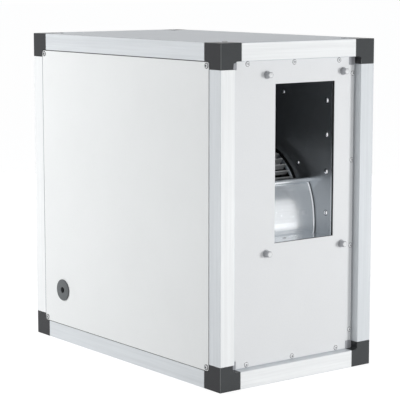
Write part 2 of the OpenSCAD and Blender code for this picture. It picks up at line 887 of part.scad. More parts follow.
// Flat flange with a bell mouth that leads the air into the impeller
module inlet_ring() {
    rotate_extrude() {
        translate([ring_hole_r - ring_t, 0]) square([ring_flange_w + ring_t, ring_t]);
        translate([ring_hole_r, -bell_r + ring_t]) intersection() {
            difference() {
                circle(bell_r);
                circle(bell_r - ring_t);
            }
            translate([-bell_r, 0]) square(bell_r);
        }
    }
}

module inlet_ring_left() {
    color("silver") difference() {
        on_shaft(left_x - plate_t) mirror([0, 0, 1]) inlet_ring();
        ring_bolt_holes();
    }
}

module inlet_ring_right() {
    color("silver") difference() {
        on_shaft(right_x + plate_t) inlet_ring();
        ring_bolt_holes();
    }
}

// Children at the inlet rings' bolts, Z into the blower from the side plates' inner faces
module at_ring_bolts() {
    seat = ring_hole_r + ring_flange_w / 2;
    for (angle = ring_bolt_angles) {
        place = [seat * cos(angle), seat * sin(angle), 0];
        on_shaft(left_x) translate(place) children();
        on_shaft(right_x) translate(place) mirror([0, 0, 1]) children();
    }
}

module ring_bolt_holes() {
    deep = plate_t + ring_t + cut;
    at_ring_bolts() translate([0, 0, -deep]) cylinder(r = rivet_r + hole_clear, h = deep + cut);
}

module inlet_ring_bolts() {
    color("silver") at_ring_bolts() {
        dome(ring_bolt_r, dome_h);
        translate([0, 0, -plate_t - ring_t - rivet_tail]) cylinder(r = rivet_r, h = plate_t + ring_t + rivet_tail);
    }
}

// Impeller

// Section of one forward-curved blade, made thicker by grow on each side
module blade_section(grow) {
    centre = [blade_tip_r - bend_in, bend_ahead];
    intersection() {
        difference() {
            translate(centre) circle(blade_bend_r + blade_t / 2 + grow);
            translate(centre) circle(blade_bend_r - blade_t / 2 - grow);
        }
        difference() {
            circle(blade_tip_r + grow);
            circle(blade_root_r - grow);
        }
        translate([0, -bend_ahead]) square([blade_tip_r + blade_bend_r, 2 * bend_ahead]);
    }
}

module all_blades(grow = 0) {
    for (i = [0 : blade_count - 1]) rotate(i * 360 / blade_count) blade_section(grow);
}

module impeller_blades() {
    color("silver") on_shaft(wheel_x + end_ring_t) linear_extrude(wheel_w - 2 * end_ring_t) all_blades();
}

// Centre disc with its hub, slotted for the blades
module impeller_disc() {
    color("silver") on_shaft(outlet_x) difference() {
        union() {
            translate([0, 0, -disc_t / 2]) linear_extrude(disc_t) difference() {
                circle(blade_root_r + slot_depth);
                all_blades(shaft_fit);
            }
            translate([0, 0, -hub_len / 2]) cylinder(r = hub_r, h = hub_len);
        }
        translate([0, 0, -hub_len / 2 - cut]) cylinder(r = shaft_r + shaft_fit, h = hub_len + 2 * cut);
    }
}

// Hoop round the blades' ends with a flat lip
module end_ring() {
    outer_r = blade_tip_r + shaft_fit + end_ring_t;
    rotate_extrude() {
        translate([outer_r - end_ring_t, 0]) square([end_ring_t, end_ring_w]);
        translate([outer_r - end_ring_lip, 0]) square([end_ring_lip, end_ring_t]);
    }
}

module impeller_end_rings() {
    color("black") {
        on_shaft(wheel_x) end_ring();
        on_shaft(wheel_x + wheel_w) mirror([0, 0, 1]) end_ring();
    }
}

// Motor

module motor_shaft() {
    long = shaft_stub + motor_len + motor_gap + hub_len;
    color("lightgray") on_shaft(motor_x - shaft_stub) cylinder(r = shaft_r, h = long);
}

module motor_shell() {
    color("gray") on_shaft(motor_x + shield_t) ring(motor_r, motor_r - shell_t, motor_len - 2 * shield_t);
}

// End shield with the seat of a bearing, open towards the motor's middle
module end_shield() {
    difference() {
        rotate_extrude() polygon([
            [0, 0], [motor_r - shield_bevel, 0], [motor_r, shield_bevel], [motor_r, shield_t], [0, shield_t]
        ]);
        translate([0, 0, shield_t - bearing_w]) cylinder(r = bearing_r, h = bearing_w + cut);
        translate([0, 0, -cut]) cylinder(r = shaft_r + 2 * loose_fit, h = shield_t + 2 * cut);
    }
}

module motor_end_shields() {
    color("darkgray") {
        on_shaft(motor_x) end_shield();
        on_shaft(motor_front_x) mirror([0, 0, 1]) end_shield();
    }
}

module motor_stator() {
    color("saddlebrown") on_shaft((motor_x + motor_front_x - core_len) / 2)
        ring(motor_r - shell_t - shaft_fit, rotor_r + air_gap, core_len);
}

module motor_rotor() {
    color("darkgray") on_shaft((motor_x + motor_front_x - core_len) / 2)
        ring(rotor_r, shaft_r + shaft_fit, core_len);
}

module motor_bearings() {
    color("lightgray") for (x = [motor_x + shield_t - bearing_w, motor_front_x - shield_t])
        on_shaft(x) ring(bearing_r - shaft_fit, shaft_r + shaft_fit, bearing_w);
}

// Belly band round the motor with three arms out to the left inlet ring
module motor_arms() {
    color("gainsboro") on_shaft(arm_x) {
        translate([0, 0, (arm_t - band_w) / 2]) ring(motor_r + shaft_fit + band_t, motor_r + shaft_fit, band_w);
        for (angle = arm_angles) rotate(angle) linear_extrude(arm_t) difference() {
            union() {
                translate([motor_r + band_t, -arm_w / 2]) square([arm_seat_r - motor_r - band_t, arm_w]);
                translate([arm_seat_r, 0]) circle(arm_w / 2);
            }
            circle(motor_r + band_t / 2);
        }
    }
}

// Supports

module angle_foot() {
    linear_extrude(foot_len) {
        square([foot_leg, foot_t]);
        square([foot_t, foot_leg]);
    }
}

module blower_feet() {
    rear_y = wheel_y + foot_len / 2;
    color("gainsboro") difference() {
        union() {
            translate([right_x + plate_t, rear_y, foot_rise]) rotate([90, 0, 0]) angle_foot();
            translate([left_x - plate_t, rear_y, foot_rise]) mirror([1, 0, 0]) rotate([90, 0, 0]) angle_foot();
        }
        foot_rivet_holes();
    }
}

// Open channels across the cabinet, carried by the bottom side rails
module cross_bearers() {
    long = box_w - 2 * (panel_depth + fin_t + loose_fit);
    color("gainsboro") for (side = [-1, 1])
        translate([-long / 2, wheel_y + side * bearer_spread / 2, rail]) rotate([90, 0, 90])
            linear_extrude(long) difference() {
                translate([-bearer_w / 2, 0]) square([bearer_w, bearer_h]);
                translate([-bearer_w / 2 + bearer_t, -cut])
                    square([bearer_w - 2 * bearer_t, bearer_h - bearer_t + cut]);
            }
}

// Rubber cylinders under the feet and between the motor arms and the inlet ring
module rubber_isolators() {
    color("black") {
        for (x = [left_x - plate_t - foot_leg / 2, right_x + plate_t + foot_leg / 2], side = [-1, 1])
            translate([x, wheel_y + side * bearer_spread / 2, rail + bearer_h])
                cylinder(r = foot_isolator_r, h = foot_rise - rail - bearer_h);
        on_shaft(arm_x + arm_t) for (angle = arm_angles)
            rotate(angle) translate([arm_seat_r, 0, 0]) cylinder(r = arm_isolator_r, h = arm_isolator_len);
    }
}

// Electrics, on the bottom panel behind the blower

module terminal_box() {
    lid_edge = sheet_t;
    color("darkgray")
        translate([-half_w + block_arm + terminal_side,
                   half_d - block_arm - electrics_back - terminal_d, floor_z]) {
            cube([terminal_w, terminal_d, terminal_h - terminal_lid_h]);
            translate([-lid_edge, -lid_edge, terminal_h - terminal_lid_h])
                cube([terminal_w + 2 * lid_edge, terminal_d + 2 * lid_edge, terminal_lid_h]);
        }
}

// Can lying in a clip on the bottom panel, beside the terminal box
module capacitor() {
    clip_r = capacitor_r + loose_fit + clip_t;
    terminal_x = -half_w + block_arm + terminal_side + terminal_w + sheet_t;
    x = terminal_x + capacitor_gap + clip_w / 2 + clip_r;
    color("whitesmoke")
        translate([x, half_d - block_arm - electrics_back, floor_z + clip_t + loose_fit + capacitor_r])
            rotate([90, 0, 0]) {
                cylinder(r = capacitor_r, h = capacitor_len);
                translate([0, 0, (capacitor_len - clip_w) / 2]) linear_extrude(clip_w) difference() {
                    union() {
                        circle(clip_r);
                        translate([-clip_r - clip_w / 2, -clip_r])
                            square([2 * clip_r + clip_w, clip_t]);
                    }
                    circle(clip_r - clip_t);
                }
            }
}

post_front_left();
post_front_right();
post_rear_left();
post_rear_right();
rail_bottom_front();
rail_bottom_rear();
rail_top_front();
rail_top_rear();
rail_bottom_left();
rail_bottom_right();
rail_top_left();
rail_top_right();
corner_block_1();
corner_block_2();
corner_block_3();
corner_block_4();
corner_block_5();
corner_block_6();
corner_block_7();
corner_block_8();
corner_pads();
front_panel();
rear_panel();
bottom_panel();
top_panel();
right_panel();
panel_linings();
access_panel();
access_lining();
sheet_rivets();
panel_screws();
access_screws();
cable_grommet();
outlet_bolts();
outlet_gasket();
outlet_flange();
side_plate_left();
side_plate_right();
scroll_wrap();
cutoff_plate();
housing_rivets();
inlet_ring_left();
inlet_ring_right();
inlet_ring_bolts();
impeller_disc();
impeller_blades();
impeller_end_rings();
motor_shaft();
motor_shell();
motor_end_shields();
motor_stator();
motor_rotor();
motor_bearings();
motor_arms();
rubber_isolators();
terminal_box();
capacitor();
blower_feet();
cross_bearers();
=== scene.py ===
# %% [markdown]
# # A boxed duct fan, dressed around its engineering model
# The cabinet and its blower arrive as an exact model, already at its real size. This lesson gives
# every piece the finish of the real one: satin aluminium profiles, black nylon corners, pale coated
# sheets and, inside, galvanised steel. Pieces that show from a step away are made again with the
# small radii and marks that tools leave. All lengths are metres, +Z is up and the outlet faces -Y.

# %% Load the frame and keep its box
import math
from collections import namedtuple
from functools import partial

import bmesh
import bpy
import numpy as np
from mathutils import Matrix, Vector


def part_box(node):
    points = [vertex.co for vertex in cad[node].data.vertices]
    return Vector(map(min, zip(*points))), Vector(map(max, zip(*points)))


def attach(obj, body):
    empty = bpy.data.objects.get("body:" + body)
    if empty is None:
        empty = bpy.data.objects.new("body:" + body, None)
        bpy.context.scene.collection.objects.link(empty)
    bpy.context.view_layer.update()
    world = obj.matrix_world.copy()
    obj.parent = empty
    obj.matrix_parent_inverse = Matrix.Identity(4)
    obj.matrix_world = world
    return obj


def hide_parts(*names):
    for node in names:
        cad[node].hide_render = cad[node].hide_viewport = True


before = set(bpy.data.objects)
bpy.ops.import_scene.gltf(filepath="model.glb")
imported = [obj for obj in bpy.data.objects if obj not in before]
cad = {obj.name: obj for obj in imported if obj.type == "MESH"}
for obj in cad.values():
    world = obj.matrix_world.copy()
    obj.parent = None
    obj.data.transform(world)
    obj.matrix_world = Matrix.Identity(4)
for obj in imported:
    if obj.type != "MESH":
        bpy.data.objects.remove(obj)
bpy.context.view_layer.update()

# %% [markdown]
# ## The camera
# Seven corners of the cabinet were measured in the photograph, and a camera was fitted to them. A
# long lens from two and a half metres away keeps the upright edges almost parallel, as there.

# %% Camera
SENSOR, LENS = 36, 137.73
STAND = (-1.70545, -2.24056, 0.67711)
LOOK_DOWN, TURN_RIGHT = 0.1457, 0.6528


def linked(name, data):
    """A new object in the scene."""
    made = bpy.data.objects.new(name, data)
    bpy.context.scene.collection.objects.link(made)
    return made


camera_data = bpy.data.cameras.new("camera")
camera_data.sensor_width, camera_data.lens = SENSOR, LENS
camera = linked("camera", camera_data)
camera.location = STAND
camera.rotation_euler = (math.pi / 2 - LOOK_DOWN, 0, -TURN_RIGHT)
bpy.context.scene.camera = camera
bpy.context.scene.view_settings.view_transform = "Standard"
print("camera at", STAND, "lens", LENS)

# %% [markdown]
# ## Building node trees in a script
# Shaders and Geometry Nodes are both node trees, so one small helper serves them: it adds a node,
# fills its inputs in order, and hands back its first output for the next node to use.


# %% A helper that adds a node
def put(tree, kind, *values, **settings):
    """Adds a node; values fill its inputs in order, and None leaves one alone."""
    node = tree.nodes.new(kind)
    for key, value in settings.items():
        setattr(node, key, value)
    for socket, value in zip([s for s in node.inputs if s.enabled], values):
        if isinstance(value, bpy.types.NodeSocket):
            tree.links.new(value, socket)
        elif value is not None:
            socket.default_value = value
    return next((s for s in node.outputs if s.enabled), node)


def math_node(tree, operation, *values):
    """Adds one sum to a tree."""
    return put(tree, "ShaderNodeMath", *values, operation=operation)


def sockets(tree, inputs, outputs):
    """Makes a group's named sockets and returns its two end nodes."""
    for name, kind, value in inputs:
        made = tree.interface.new_socket(name=name, in_out="INPUT", socket_type="NodeSocket" + kind)
        if value is not None:
            made.default_value = value
    for name, kind in outputs:
        tree.interface.new_socket(name=name, in_out="OUTPUT", socket_type="NodeSocket" + kind)
    return tree.nodes.new("NodeGroupInput"), tree.nodes.new("NodeGroupOutput")


print("helpers ready")

# %% [markdown]
# ## Effects that several finishes share
# Real sheet metal is never one flat colour. Four small groups cover what is seen here: the fine
# grain of moulded or coated faces, the long streaks that a die leaves on a profile, the spangle of
# galvanised steel, and faint smudges from handling. Each puts out a mask and a height.


# %% How an effect is made
def effect(name, inputs, outputs=(("Mask", "Float"), ("Height", "Float"))):
    tree = bpy.data.node_groups.new(name, "ShaderNodeTree")
    ends = sockets(tree, [("Vector", "Vector", None), *inputs], outputs)
    return tree, *ends


def noise(tree, vector, scale, detail, roughness=0.5):
    return put(tree, "ShaderNodeTexNoise", vector, scale, detail, roughness)


def spread(tree, value, low, high):
    """Stretches the middle of a noise over the whole range from 0 to 1."""
    return put(tree, "ShaderNodeMapRange", value, low, high, 0.0, 1.0)


print("effect helpers ready")

# %% The four effects
grain, start, end = effect("fine_grain", [("Scale", "Float", 900.0)])
fine = noise(grain, start.outputs[0], start.outputs[1], 3.0)
grain.links.new(spread(grain, fine, 0.3, 0.7), end.inputs[0])
grain.links.new(fine, end.inputs[1])

streaks, start, end = effect("drawn_streaks", [("Scale", "Float", 300.0)])
wide = noise(streaks, start.outputs[0], start.outputs[1], 2.0)
thin = noise(streaks, start.outputs[0], math_node(streaks, "MULTIPLY", start.outputs[1], 4.0), 2.0)
both = math_node(streaks, "ADD", math_node(streaks, "MULTIPLY", wide, 0.6),
                 math_node(streaks, "MULTIPLY", thin, 0.4))
streaks.links.new(spread(streaks, both, 0.35, 0.65), end.inputs[0])
streaks.links.new(both, end.inputs[1])

WOBBLE = (0.012, 0.012, 0.012)
spangle, start, end = effect("spangle", [("Scale", "Float", 90.0)])
bent = put(spangle, "ShaderNodeVectorMath", start.outputs[0],
           put(spangle, "ShaderNodeVectorMath",
               noise(spangle, start.outputs[0], start.outputs[1], 2.0).node.outputs["Color"],
               WOBBLE, operation="MULTIPLY"), operation="ADD")
cells = put(spangle, "ShaderNodeTexVoronoi", bent, None, start.outputs[1])
tone = put(spangle, "ShaderNodeSeparateColor", cells.node.outputs["Color"])
spangle.links.new(tone, end.inputs[0])
spangle.links.new(math_node(spangle, "ADD", cells, tone), end.inputs[1])

smudges, start, end = effect("smudges", [("Scale", "Float", 6.0), ("Cover", "Float", 0.3)],
                             [("Mask", "Float")])
cloud = noise(smudges, start.outputs[0], start.outputs[1], 6.0, 0.6)
smudges.links.new(math_node(smudges, "MULTIPLY", spread(smudges, cloud, 0.42, 0.72),
                            start.outputs[2]), end.inputs[0])
print("effects:", [g.name for g in bpy.data.node_groups])

# %% [markdown]
# ## One recipe for every finish
# A finish is a Principled shader whose colour, roughness and bump follow one of the effects. The
# pattern's place comes from Object coordinates, and a Mapping node stretches it, for instance along
# a drawn profile. Numbers that are the same all over stay on the shader's own sockets.


# %% The recipe
def finish(name, colour, rough, pattern, scale, metallic=0.0, shade=0.85, bump=0.1, depth=0.0002,
           stretch=(1, 1, 1), smudge=0.25, swing=0.08, coat=0.0, specular=0.5):
    """Makes a material: shade is how dark the pattern gets, swing how far the roughness moves."""
    material = bpy.data.materials.new(name)
    material.use_nodes = True
    tree = material.node_tree
    shader = tree.nodes["Principled BSDF"]
    place = put(tree, "ShaderNodeTexCoord").node.outputs["Object"]
    stretched = put(tree, "ShaderNodeMapping", place, None, None, stretch)
    mark = put(tree, "ShaderNodeGroup", node_tree=pattern)
    tree.links.new(stretched, mark.node.inputs[0])
    mark.node.inputs[1].default_value = scale
    dirt = put(tree, "ShaderNodeGroup", node_tree=smudges)
    tree.links.new(place, dirt.node.inputs[0])
    dirt.node.inputs[2].default_value = smudge
    plain = (*colour, 1)
    dark = (*[c * shade for c in colour], 1)
    dull = (*[c * 0.9 for c in colour], 1)
    base = put(tree, "ShaderNodeMix", mark, plain, dark, data_type="RGBA")
    tinted = put(tree, "ShaderNodeMix", dirt, base, dull, data_type="RGBA")
    tree.links.new(tinted, shader.inputs["Base Color"])
    roughness = put(tree, "ShaderNodeMapRange", mark, 0.0, 1.0, rough - swing, rough + swing)
    tree.links.new(roughness, shader.inputs["Roughness"])
    relief = put(tree, "ShaderNodeBump", bump, depth)
    tree.links.new(mark.node.outputs[1], relief.node.inputs["Height"])
    tree.links.new(relief, shader.inputs["Normal"])
    shader.inputs["Metallic"].default_value = metallic
    shader.inputs["Coat Weight"].default_value = coat
    shader.inputs["Specular IOR Level"].default_value = specular
    return material


print("recipe ready")

# %% [markdown]
# ## The outside finishes
# The profiles are extruded aluminium, so their streaks run along their length and each direction
# needs a finish of its own. The sheets have a smooth pale coating. The corners are black nylon that
# shows a fine moulded grain.

# %% Outside finishes
ALUMINIUM = (0.72, 0.75, 0.775)
# A paler copy of the aluminium: painted light on profile faces to the front and rear
LIT_FACE_ALUMINIUM = (0.91, 0.925, 0.93)
SHEET = (0.87, 0.885, 0.885)
DRAWN = {"upright": (1, 1, 0.015), "cross": (0.015, 1, 1), "side": (1, 0.015, 1)}
plain_aluminium, brushed_aluminium = (
    {run: finish(f"{run}_{kind}", colour, 0.38, streaks, 260, metallic=0.3, shade=0.93,
                 stretch=stretch, bump=0.05) for run, stretch in DRAWN.items()}
    for kind, colour in (("aluminium", ALUMINIUM), ("brushed_aluminium", LIT_FACE_ALUMINIUM)))
# Dark skin for the eased profile edges and the top rails' outer strip: painted shade
edge_aluminium = finish("edge_aluminium", (0.30, 0.32, 0.34), 0.5, grain, 900, metallic=0.2,
                        shade=0.8, bump=0.05, specular=0.2)
coated_sheet = finish("coated_sheet", SHEET, 0.34, grain, 700, shade=0.97, bump=0.03, smudge=0.3,
                      coat=0.1)
front_sheet = finish("front_sheet", (0.79, 0.80, 0.81), 0.36, grain, 700, shade=0.97, bump=0.03,
                     smudge=0.3, coat=0.1)
# Darker than the other coated sheets: painted shade on the top panel and the profiles' top faces
top_sheet = finish("top_sheet", (0.77, 0.80, 0.835), 0.45, grain, 700, shade=0.97, bump=0.03,
                   smudge=0.4, specular=0.2)
black_nylon = finish("black_nylon", (0.043, 0.047, 0.050), 0.38, grain, 1400, shade=0.8, bump=0.25,
                     smudge=0.2, specular=0.4)
# Darker and paler copies of the nylon: painted shade on side faces, painted highlight on eased
# upright edges
shaded_nylon = finish("shaded_nylon", (0.026, 0.027, 0.030), 0.42, grain, 1400, shade=0.8,
                      bump=0.25, smudge=0.2, specular=0.3)
rubbed_nylon = finish("rubbed_nylon", (0.18, 0.19, 0.19), 0.42, grain, 1400, shade=0.8, bump=0.25,
                      smudge=0.2, specular=0.4)
notch_foam = finish("notch_foam", (0.46, 0.47, 0.50), 0.85, grain, 1500, shade=0.6, bump=0.6)
grommet_rubber = finish("grommet_rubber", (0.13, 0.14, 0.145), 0.6, grain, 1200, bump=0.15)
bright_rivet = finish("bright_rivet", (0.90, 0.91, 0.92), 0.35, grain, 1500, metallic=0.15,
                      shade=0.9, bump=0.05)
polished_dome = finish("polished_dome", (0.85, 0.86, 0.88), 0.16, grain, 1500, metallic=1.0,
                       shade=0.95, bump=0.03, smudge=0.1, swing=0.03)
# A darker copy of the zinc: painted shade on the outlet bolts' faces that don't look forward
dull_zinc = finish("dull_zinc", (0.50, 0.51, 0.53), 0.40, grain, 1200, metallic=0.4, shade=0.8,
                   bump=0.08, specular=0.3)
zinc = finish("zinc", (0.80, 0.81, 0.82), 0.35, grain, 1200, metallic=0.4, shade=0.9, bump=0.08)
print("outside finishes:", len(bpy.data.materials))

# %% [markdown]
# ## The inside finishes
# The blower's housing is galvanised sheet, the impeller's blades are rolled strip between black end
# rings, and the motor has dark grey paint with die-cast ends.

# %% Inside finishes
galvanised = finish("galvanised", (0.90, 0.93, 0.96), 0.17, spangle, 70, metallic=0.9, shade=0.88,
                    bump=0.04, smudge=0.35, swing=0.05)
# A darker copy of the galvanised finish: painted shade for the side plates and inlet rings inside
# the housing
plate_steel = finish("plate_steel", (0.50, 0.53, 0.56), 0.30, spangle, 70, metallic=0.9,
                     shade=0.85, bump=0.05, smudge=0.4)
blade_steel = finish("blade_steel", (0.80, 0.81, 0.82), 0.5, streaks, 300, metallic=0.4,
                     stretch=(0.05, 1, 1), bump=0.05)
black_coat = finish("black_coat", (0.005, 0.005, 0.006), 0.75, grain, 900, bump=0.1, specular=0.05)
ground_steel = finish("ground_steel", (0.55, 0.55, 0.56), 0.25, streaks, 500, metallic=0.9,
                      stretch=(1, 0.05, 0.05), bump=0.05)
motor_paint = finish("motor_paint", (0.13, 0.14, 0.15), 0.5, grain, 800, bump=0.25)
die_cast = finish("die_cast", (0.52, 0.53, 0.54), 0.5, grain, 700, metallic=0.5, bump=0.35)
winding = finish("winding", (0.45, 0.2, 0.09), 0.4, streaks, 400, metallic=0.4, bump=0.3)
black_rubber = finish("black_rubber", (0.025, 0.025, 0.026), 0.7, grain, 1200, bump=0.2)
lining_foam = finish("lining_foam", (0.075, 0.075, 0.08), 0.95, grain, 450, shade=0.35, bump=1.0,
                     depth=0.001)
grey_plastic = finish("grey_plastic", (0.42, 0.43, 0.44), 0.5, grain, 1000, bump=0.15)
can_plastic = finish("can_plastic", (0.72, 0.72, 0.70), 0.3, grain, 900, bump=0.05, coat=0.3)
print("finishes:", len(bpy.data.materials))

# %% [markdown]
# ## Nodes that stay as they are
# Flat sheets and hidden parts already have the right shape and need only their finish. The other
# nodes are made again further down, and each new piece is given its finish there.

# %% Finishes of the nodes that stay
NODE_FINISHES = {
    coated_sheet: ("access_panel", "right_panel"),
    front_sheet: ("rear_panel", "bottom_panel"),
    top_sheet: ("top_panel",),
    notch_foam: ("corner_pads",),
    galvanised: ("cutoff_plate", "outlet_flange", "impeller_disc", "motor_arms", "blower_feet",
                 "cross_bearers"),
    plate_steel: ("side_plate_left", "side_plate_right"),
    ground_steel: ("motor_shaft", "motor_rotor", "motor_bearings"),
    die_cast: ("motor_end_shields",),
    winding: ("motor_stator",),
    black_rubber: ("rubber_isolators", "outlet_gasket"),
    lining_foam: ("panel_linings", "access_lining"),
    grey_plastic: ("terminal_box",),
    can_plastic: ("capacitor",),
}
for material, names in NODE_FINISHES.items():
    for name in names:
        cad[name].data.materials.clear()
        cad[name].data.materials.append(material)
print("finishes on", sum(len(names) for names in NODE_FINISHES.values()), "nodes")

# %% [markdown]
# ## Making pieces again
# The engineering model has exact shapes but knife-sharp edges. The pieces below take its places and
# sizes and add what tools leave: rolled edges, small radii, marks of the rivet gun. Each one rides
# on the body that its node belongs to and replaces that node, which is hidden.


# %% Putting a piece on its body
MM = 0.001
# Faces above this area, in square metres, are kept flat by sharp borders
LARGE_FACE = 8e-4


def piece(made, body, slot, *nodes, sharp=40):
    """Shades a piece, puts it on its body and lets it stand for its nodes."""
    made.data.polygons.foreach_set("use_smooth", [True] * len(made.data.polygons))
    made.data.set_sharp_from_angle(angle=math.radians(sharp))
    borders = {key for face in made.data.polygons if face.area > LARGE_FACE
               for key in face.edge_keys}
    for edge in made.data.edges:
        if edge.key in borders:
            edge.use_edge_sharp = True
    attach(made, body)
    if nodes:
        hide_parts(*nodes)
    print(f"{made.name}: {len(made.data.polygons)} faces, for", ", ".join(nodes) or "no node")
    return made


def solid(name, build, *materials):
    """Turns a bmesh into an object with its normals outwards."""
    bmesh.ops.remove_doubles(build, verts=build.verts, dist=1e-6)
    bmesh.ops.recalc_face_normals(build, faces=build.faces)
    mesh = bpy.data.meshes.new(name)
    build.to_mesh(mesh)
    build.free()
    for material in materials:
        mesh.materials.append(material)
    return linked(name, mesh)


print("pieces can be placed")


# %% Points, strips and turned profiles
SHAFT_Y, SHAFT_Z = -0.0890086, 0.266


def on_shaft(x):
    """Local Z runs along the shaft from x, local X to the rear and local Y up."""
    return Matrix.Translation((x * MM, SHAFT_Y, SHAFT_Z)) @ Matrix(
        ((0, 0, 1, 0), (1, 0, 0, 0), (0, 1, 0, 0), (0, 0, 0, 1)))


def arc(x, y, radius, start, end, steps):
    """Points of an arc, angles in degrees."""
    turns = [math.radians(start + (end - start) * i / steps) for i in range(steps + 1)]
    return [(x + radius * math.cos(turn), y + radius * math.sin(turn)) for turn in turns]


def bridge(build, here, there, closed=True):
    """Joins two rows of points with a strip of faces."""
    for i in range(len(here) if closed else len(here) - 1):
        j = (i + 1) % len(here)
        build.faces.new((here[i], here[j], there[j], there[i]))


def lathe(build, profile, steps, place, closed=True):
    """Turns a profile of (radius, height) points, in millimetres, about the local Z axis."""
    rings = []
    for step in range(steps):
        turn = 2 * math.pi * step / steps
        rings.append([build.verts.new(place @ Vector((r * math.cos(turn), r * math.sin(turn), z)))
                      for r, z in ((r * MM, z * MM) for r, z in profile)])
    for here, there in zip(rings, rings[1:] + rings[:1]):
        bridge(build, here, there, closed)


def turned_piece(name, turns, material, body, slot, node):
    """A piece made of (profile, steps, place) turns."""
    build = bmesh.new()
    for profile, steps, place in turns:
        lathe(build, profile, steps, place)
    piece(solid(name, build, material), body, slot, node, sharp=35)


print("profiles can be turned about the shaft at", SHAFT_Y, SHAFT_Z)


# %% Starting from a node
# Corner points of the model's loose triangles that are nearer than this, in metres, are one point
CAD_WELD = 2e-6


def merged(node):
    """A bmesh of a CAD node whose loose triangles are joined."""
    build = bmesh.new()
    build.from_mesh(cad[node].data)
    bmesh.ops.remove_doubles(build, verts=build.verts, dist=CAD_WELD)
    return build


def welded(node):
    """The same with flat faces made whole."""
    build = merged(node)
    bmesh.ops.dissolve_limit(build, angle_limit=math.radians(0.5), verts=build.verts,
                             edges=build.edges)
    return build


def baked(made):
    """Applies an object's modifiers and leaves a plain mesh."""
    bpy.context.view_layer.update()
    shown = made.evaluated_get(bpy.context.evaluated_depsgraph_get())
    plain = bpy.data.meshes.new_from_object(shown)
    made.modifiers.clear()
    made.data = plain
    return made


print("nodes can be welded")

# %% [markdown]
# ## Outer faces and edges
# Profiles and corner blocks are eased only along their outer edges. So the faces in the cabinet's
# outer planes are found first, and then the sharp edges that bound them.


# %% Finding what is outside
CABINET_MIDDLE = Vector((0, 0, 0.285))
LONG_EDGE, IN_PLANE, SHARP = 0.1, 1e-5, math.radians(40)


def outer_planes(low, high):
    """Where a part meets the cabinet's outside: a place for each axis across its length."""
    planes = {}
    for axis in range(3):
        if high[axis] - low[axis] < LONG_EDGE:
            ends = (low[axis], high[axis])
            planes[axis] = max(ends, key=lambda end: abs(end - CABINET_MIDDLE[axis]))
    return planes


def outer_faces(build, planes):
    """Each face that lies in an outer plane, with that plane's axis."""
    return {face: axis for face in build.faces for axis, place in planes.items()
            if all(abs(vertex.co[axis] - place) < IN_PLANE for vertex in face.verts)}


def ease(build, outside, shortest, radius, **settings):
    """Rounds the sharp edges of the outer faces that are longer than a length."""
    edges = [edge for edge in build.edges
             if edge.calc_length() > shortest and len(edge.link_faces) == 2
             and edge.calc_face_angle() > SHARP and outside.keys() & set(edge.link_faces)]
    bmesh.ops.bevel(build, geom=edges, offset=radius * MM, profile=0.5, affect="EDGES",
                    **settings)
    return len(edges)


print("outer faces can be found")

# %% [markdown]
# ## Drawn profiles
# Each profile is one extrusion. Its long outer edges leave the die with a small radius, and a dark
# skin on it is painted shade that draws every edge of the cabinet as a fine line, as does a strip
# along each top rail's outer edge. The faces to the front and to the rear get a paler copy of the
# aluminium, painted light, and those on top the top sheet's colour, painted shade. Two posts differ
# from the rule: painted shade on the right front post's front face, painted light on the left rear
# post's side face.


# %% How a profile is finished
EDGE_RADIUS, EDGE_BAND = 0.8, 3.5
# Skins: plain; paler copy as painted light; dark as painted shade on edges; top sheet's colour as
# painted shade on top faces
PLAIN, LIT_FACE, DARK, SHADED_TOP = range(4)
SKINS = {0: PLAIN, 1: LIT_FACE, 2: SHADED_TOP}
# Painted shade on the right front post's front face and painted light on the left rear post's side
# face
ODD_SKINS = {("post_front_right", 1): PLAIN, ("post_rear_left", 0): LIT_FACE}


def run_of(name):
    """The way that a profile runs: up, across or along the side."""
    if name.startswith("post_"):
        return "upright"
    return "side" if name.endswith(("left", "right")) else "cross"


def darken_band(build, planes):
    """Cuts a top rail's upper face along its outer edge and darkens the strip: painted shade."""
    across = next(axis for axis in planes if axis != 2)
    line = planes[across] - math.copysign(EDGE_BAND * MM, planes[across])
    just_below_top = planes[2] - 1e-4
    tops = [face for face in build.faces if face.normal.z > 0.99
            and all(vertex.co.z > just_below_top for vertex in face.verts)]
    parts = set(tops) | {e for f in tops for e in f.edges} | {v for f in tops for v in f.verts}
    bmesh.ops.bisect_plane(build, geom=list(parts), dist=1e-6,
                           plane_co=[line if axis == across else 0 for axis in range(3)],
                           plane_no=[1 if axis == across else 0 for axis in range(3)])
    for face in build.faces:
        middle = face.calc_center_median()
        if face.normal.z > 0.99 and middle.z > just_below_top and abs(middle[across]) > abs(line):
            face.material_index = DARK


print("skins by axis:", SKINS)

# %% Drawn profiles
for node in [name for name in cad if name.startswith(("post_", "rail_"))]:
    planes = outer_planes(*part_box(node))
    build = welded(node)
    outside = outer_faces(build, planes)
    for face, axis in outside.items():
        face.material_index = ODD_SKINS.get((node, axis), SKINS[axis])
    # The eased edges get the dark skin: painted shade
    count = ease(build, outside, LONG_EDGE, EDGE_RADIUS, segments=2, material=DARK)
    if node.startswith("rail_top"):
        darken_band(build, planes)
    run = run_of(node)
    drawn = solid(f"drawn_{node}", build, plain_aluminium[run], brushed_aluminium[run],
                  edge_aluminium, top_sheet)
    print(node, "edges eased:", count)
    piece(drawn, "cabinet", "profile_aluminium", node)

# %% [markdown]
# ## Corner blocks
# The moulded corners come out of their tool with soft edges, about a millimetre in radius, which
# catch the light. The eased upright edges get a paler copy of the nylon, a painted highlight, and
# the faces to the sides a darker copy, painted shade. Blocks 1 and 5 have one arm a little
# narrower, so that the foam pad behind the sheet's notch shows.

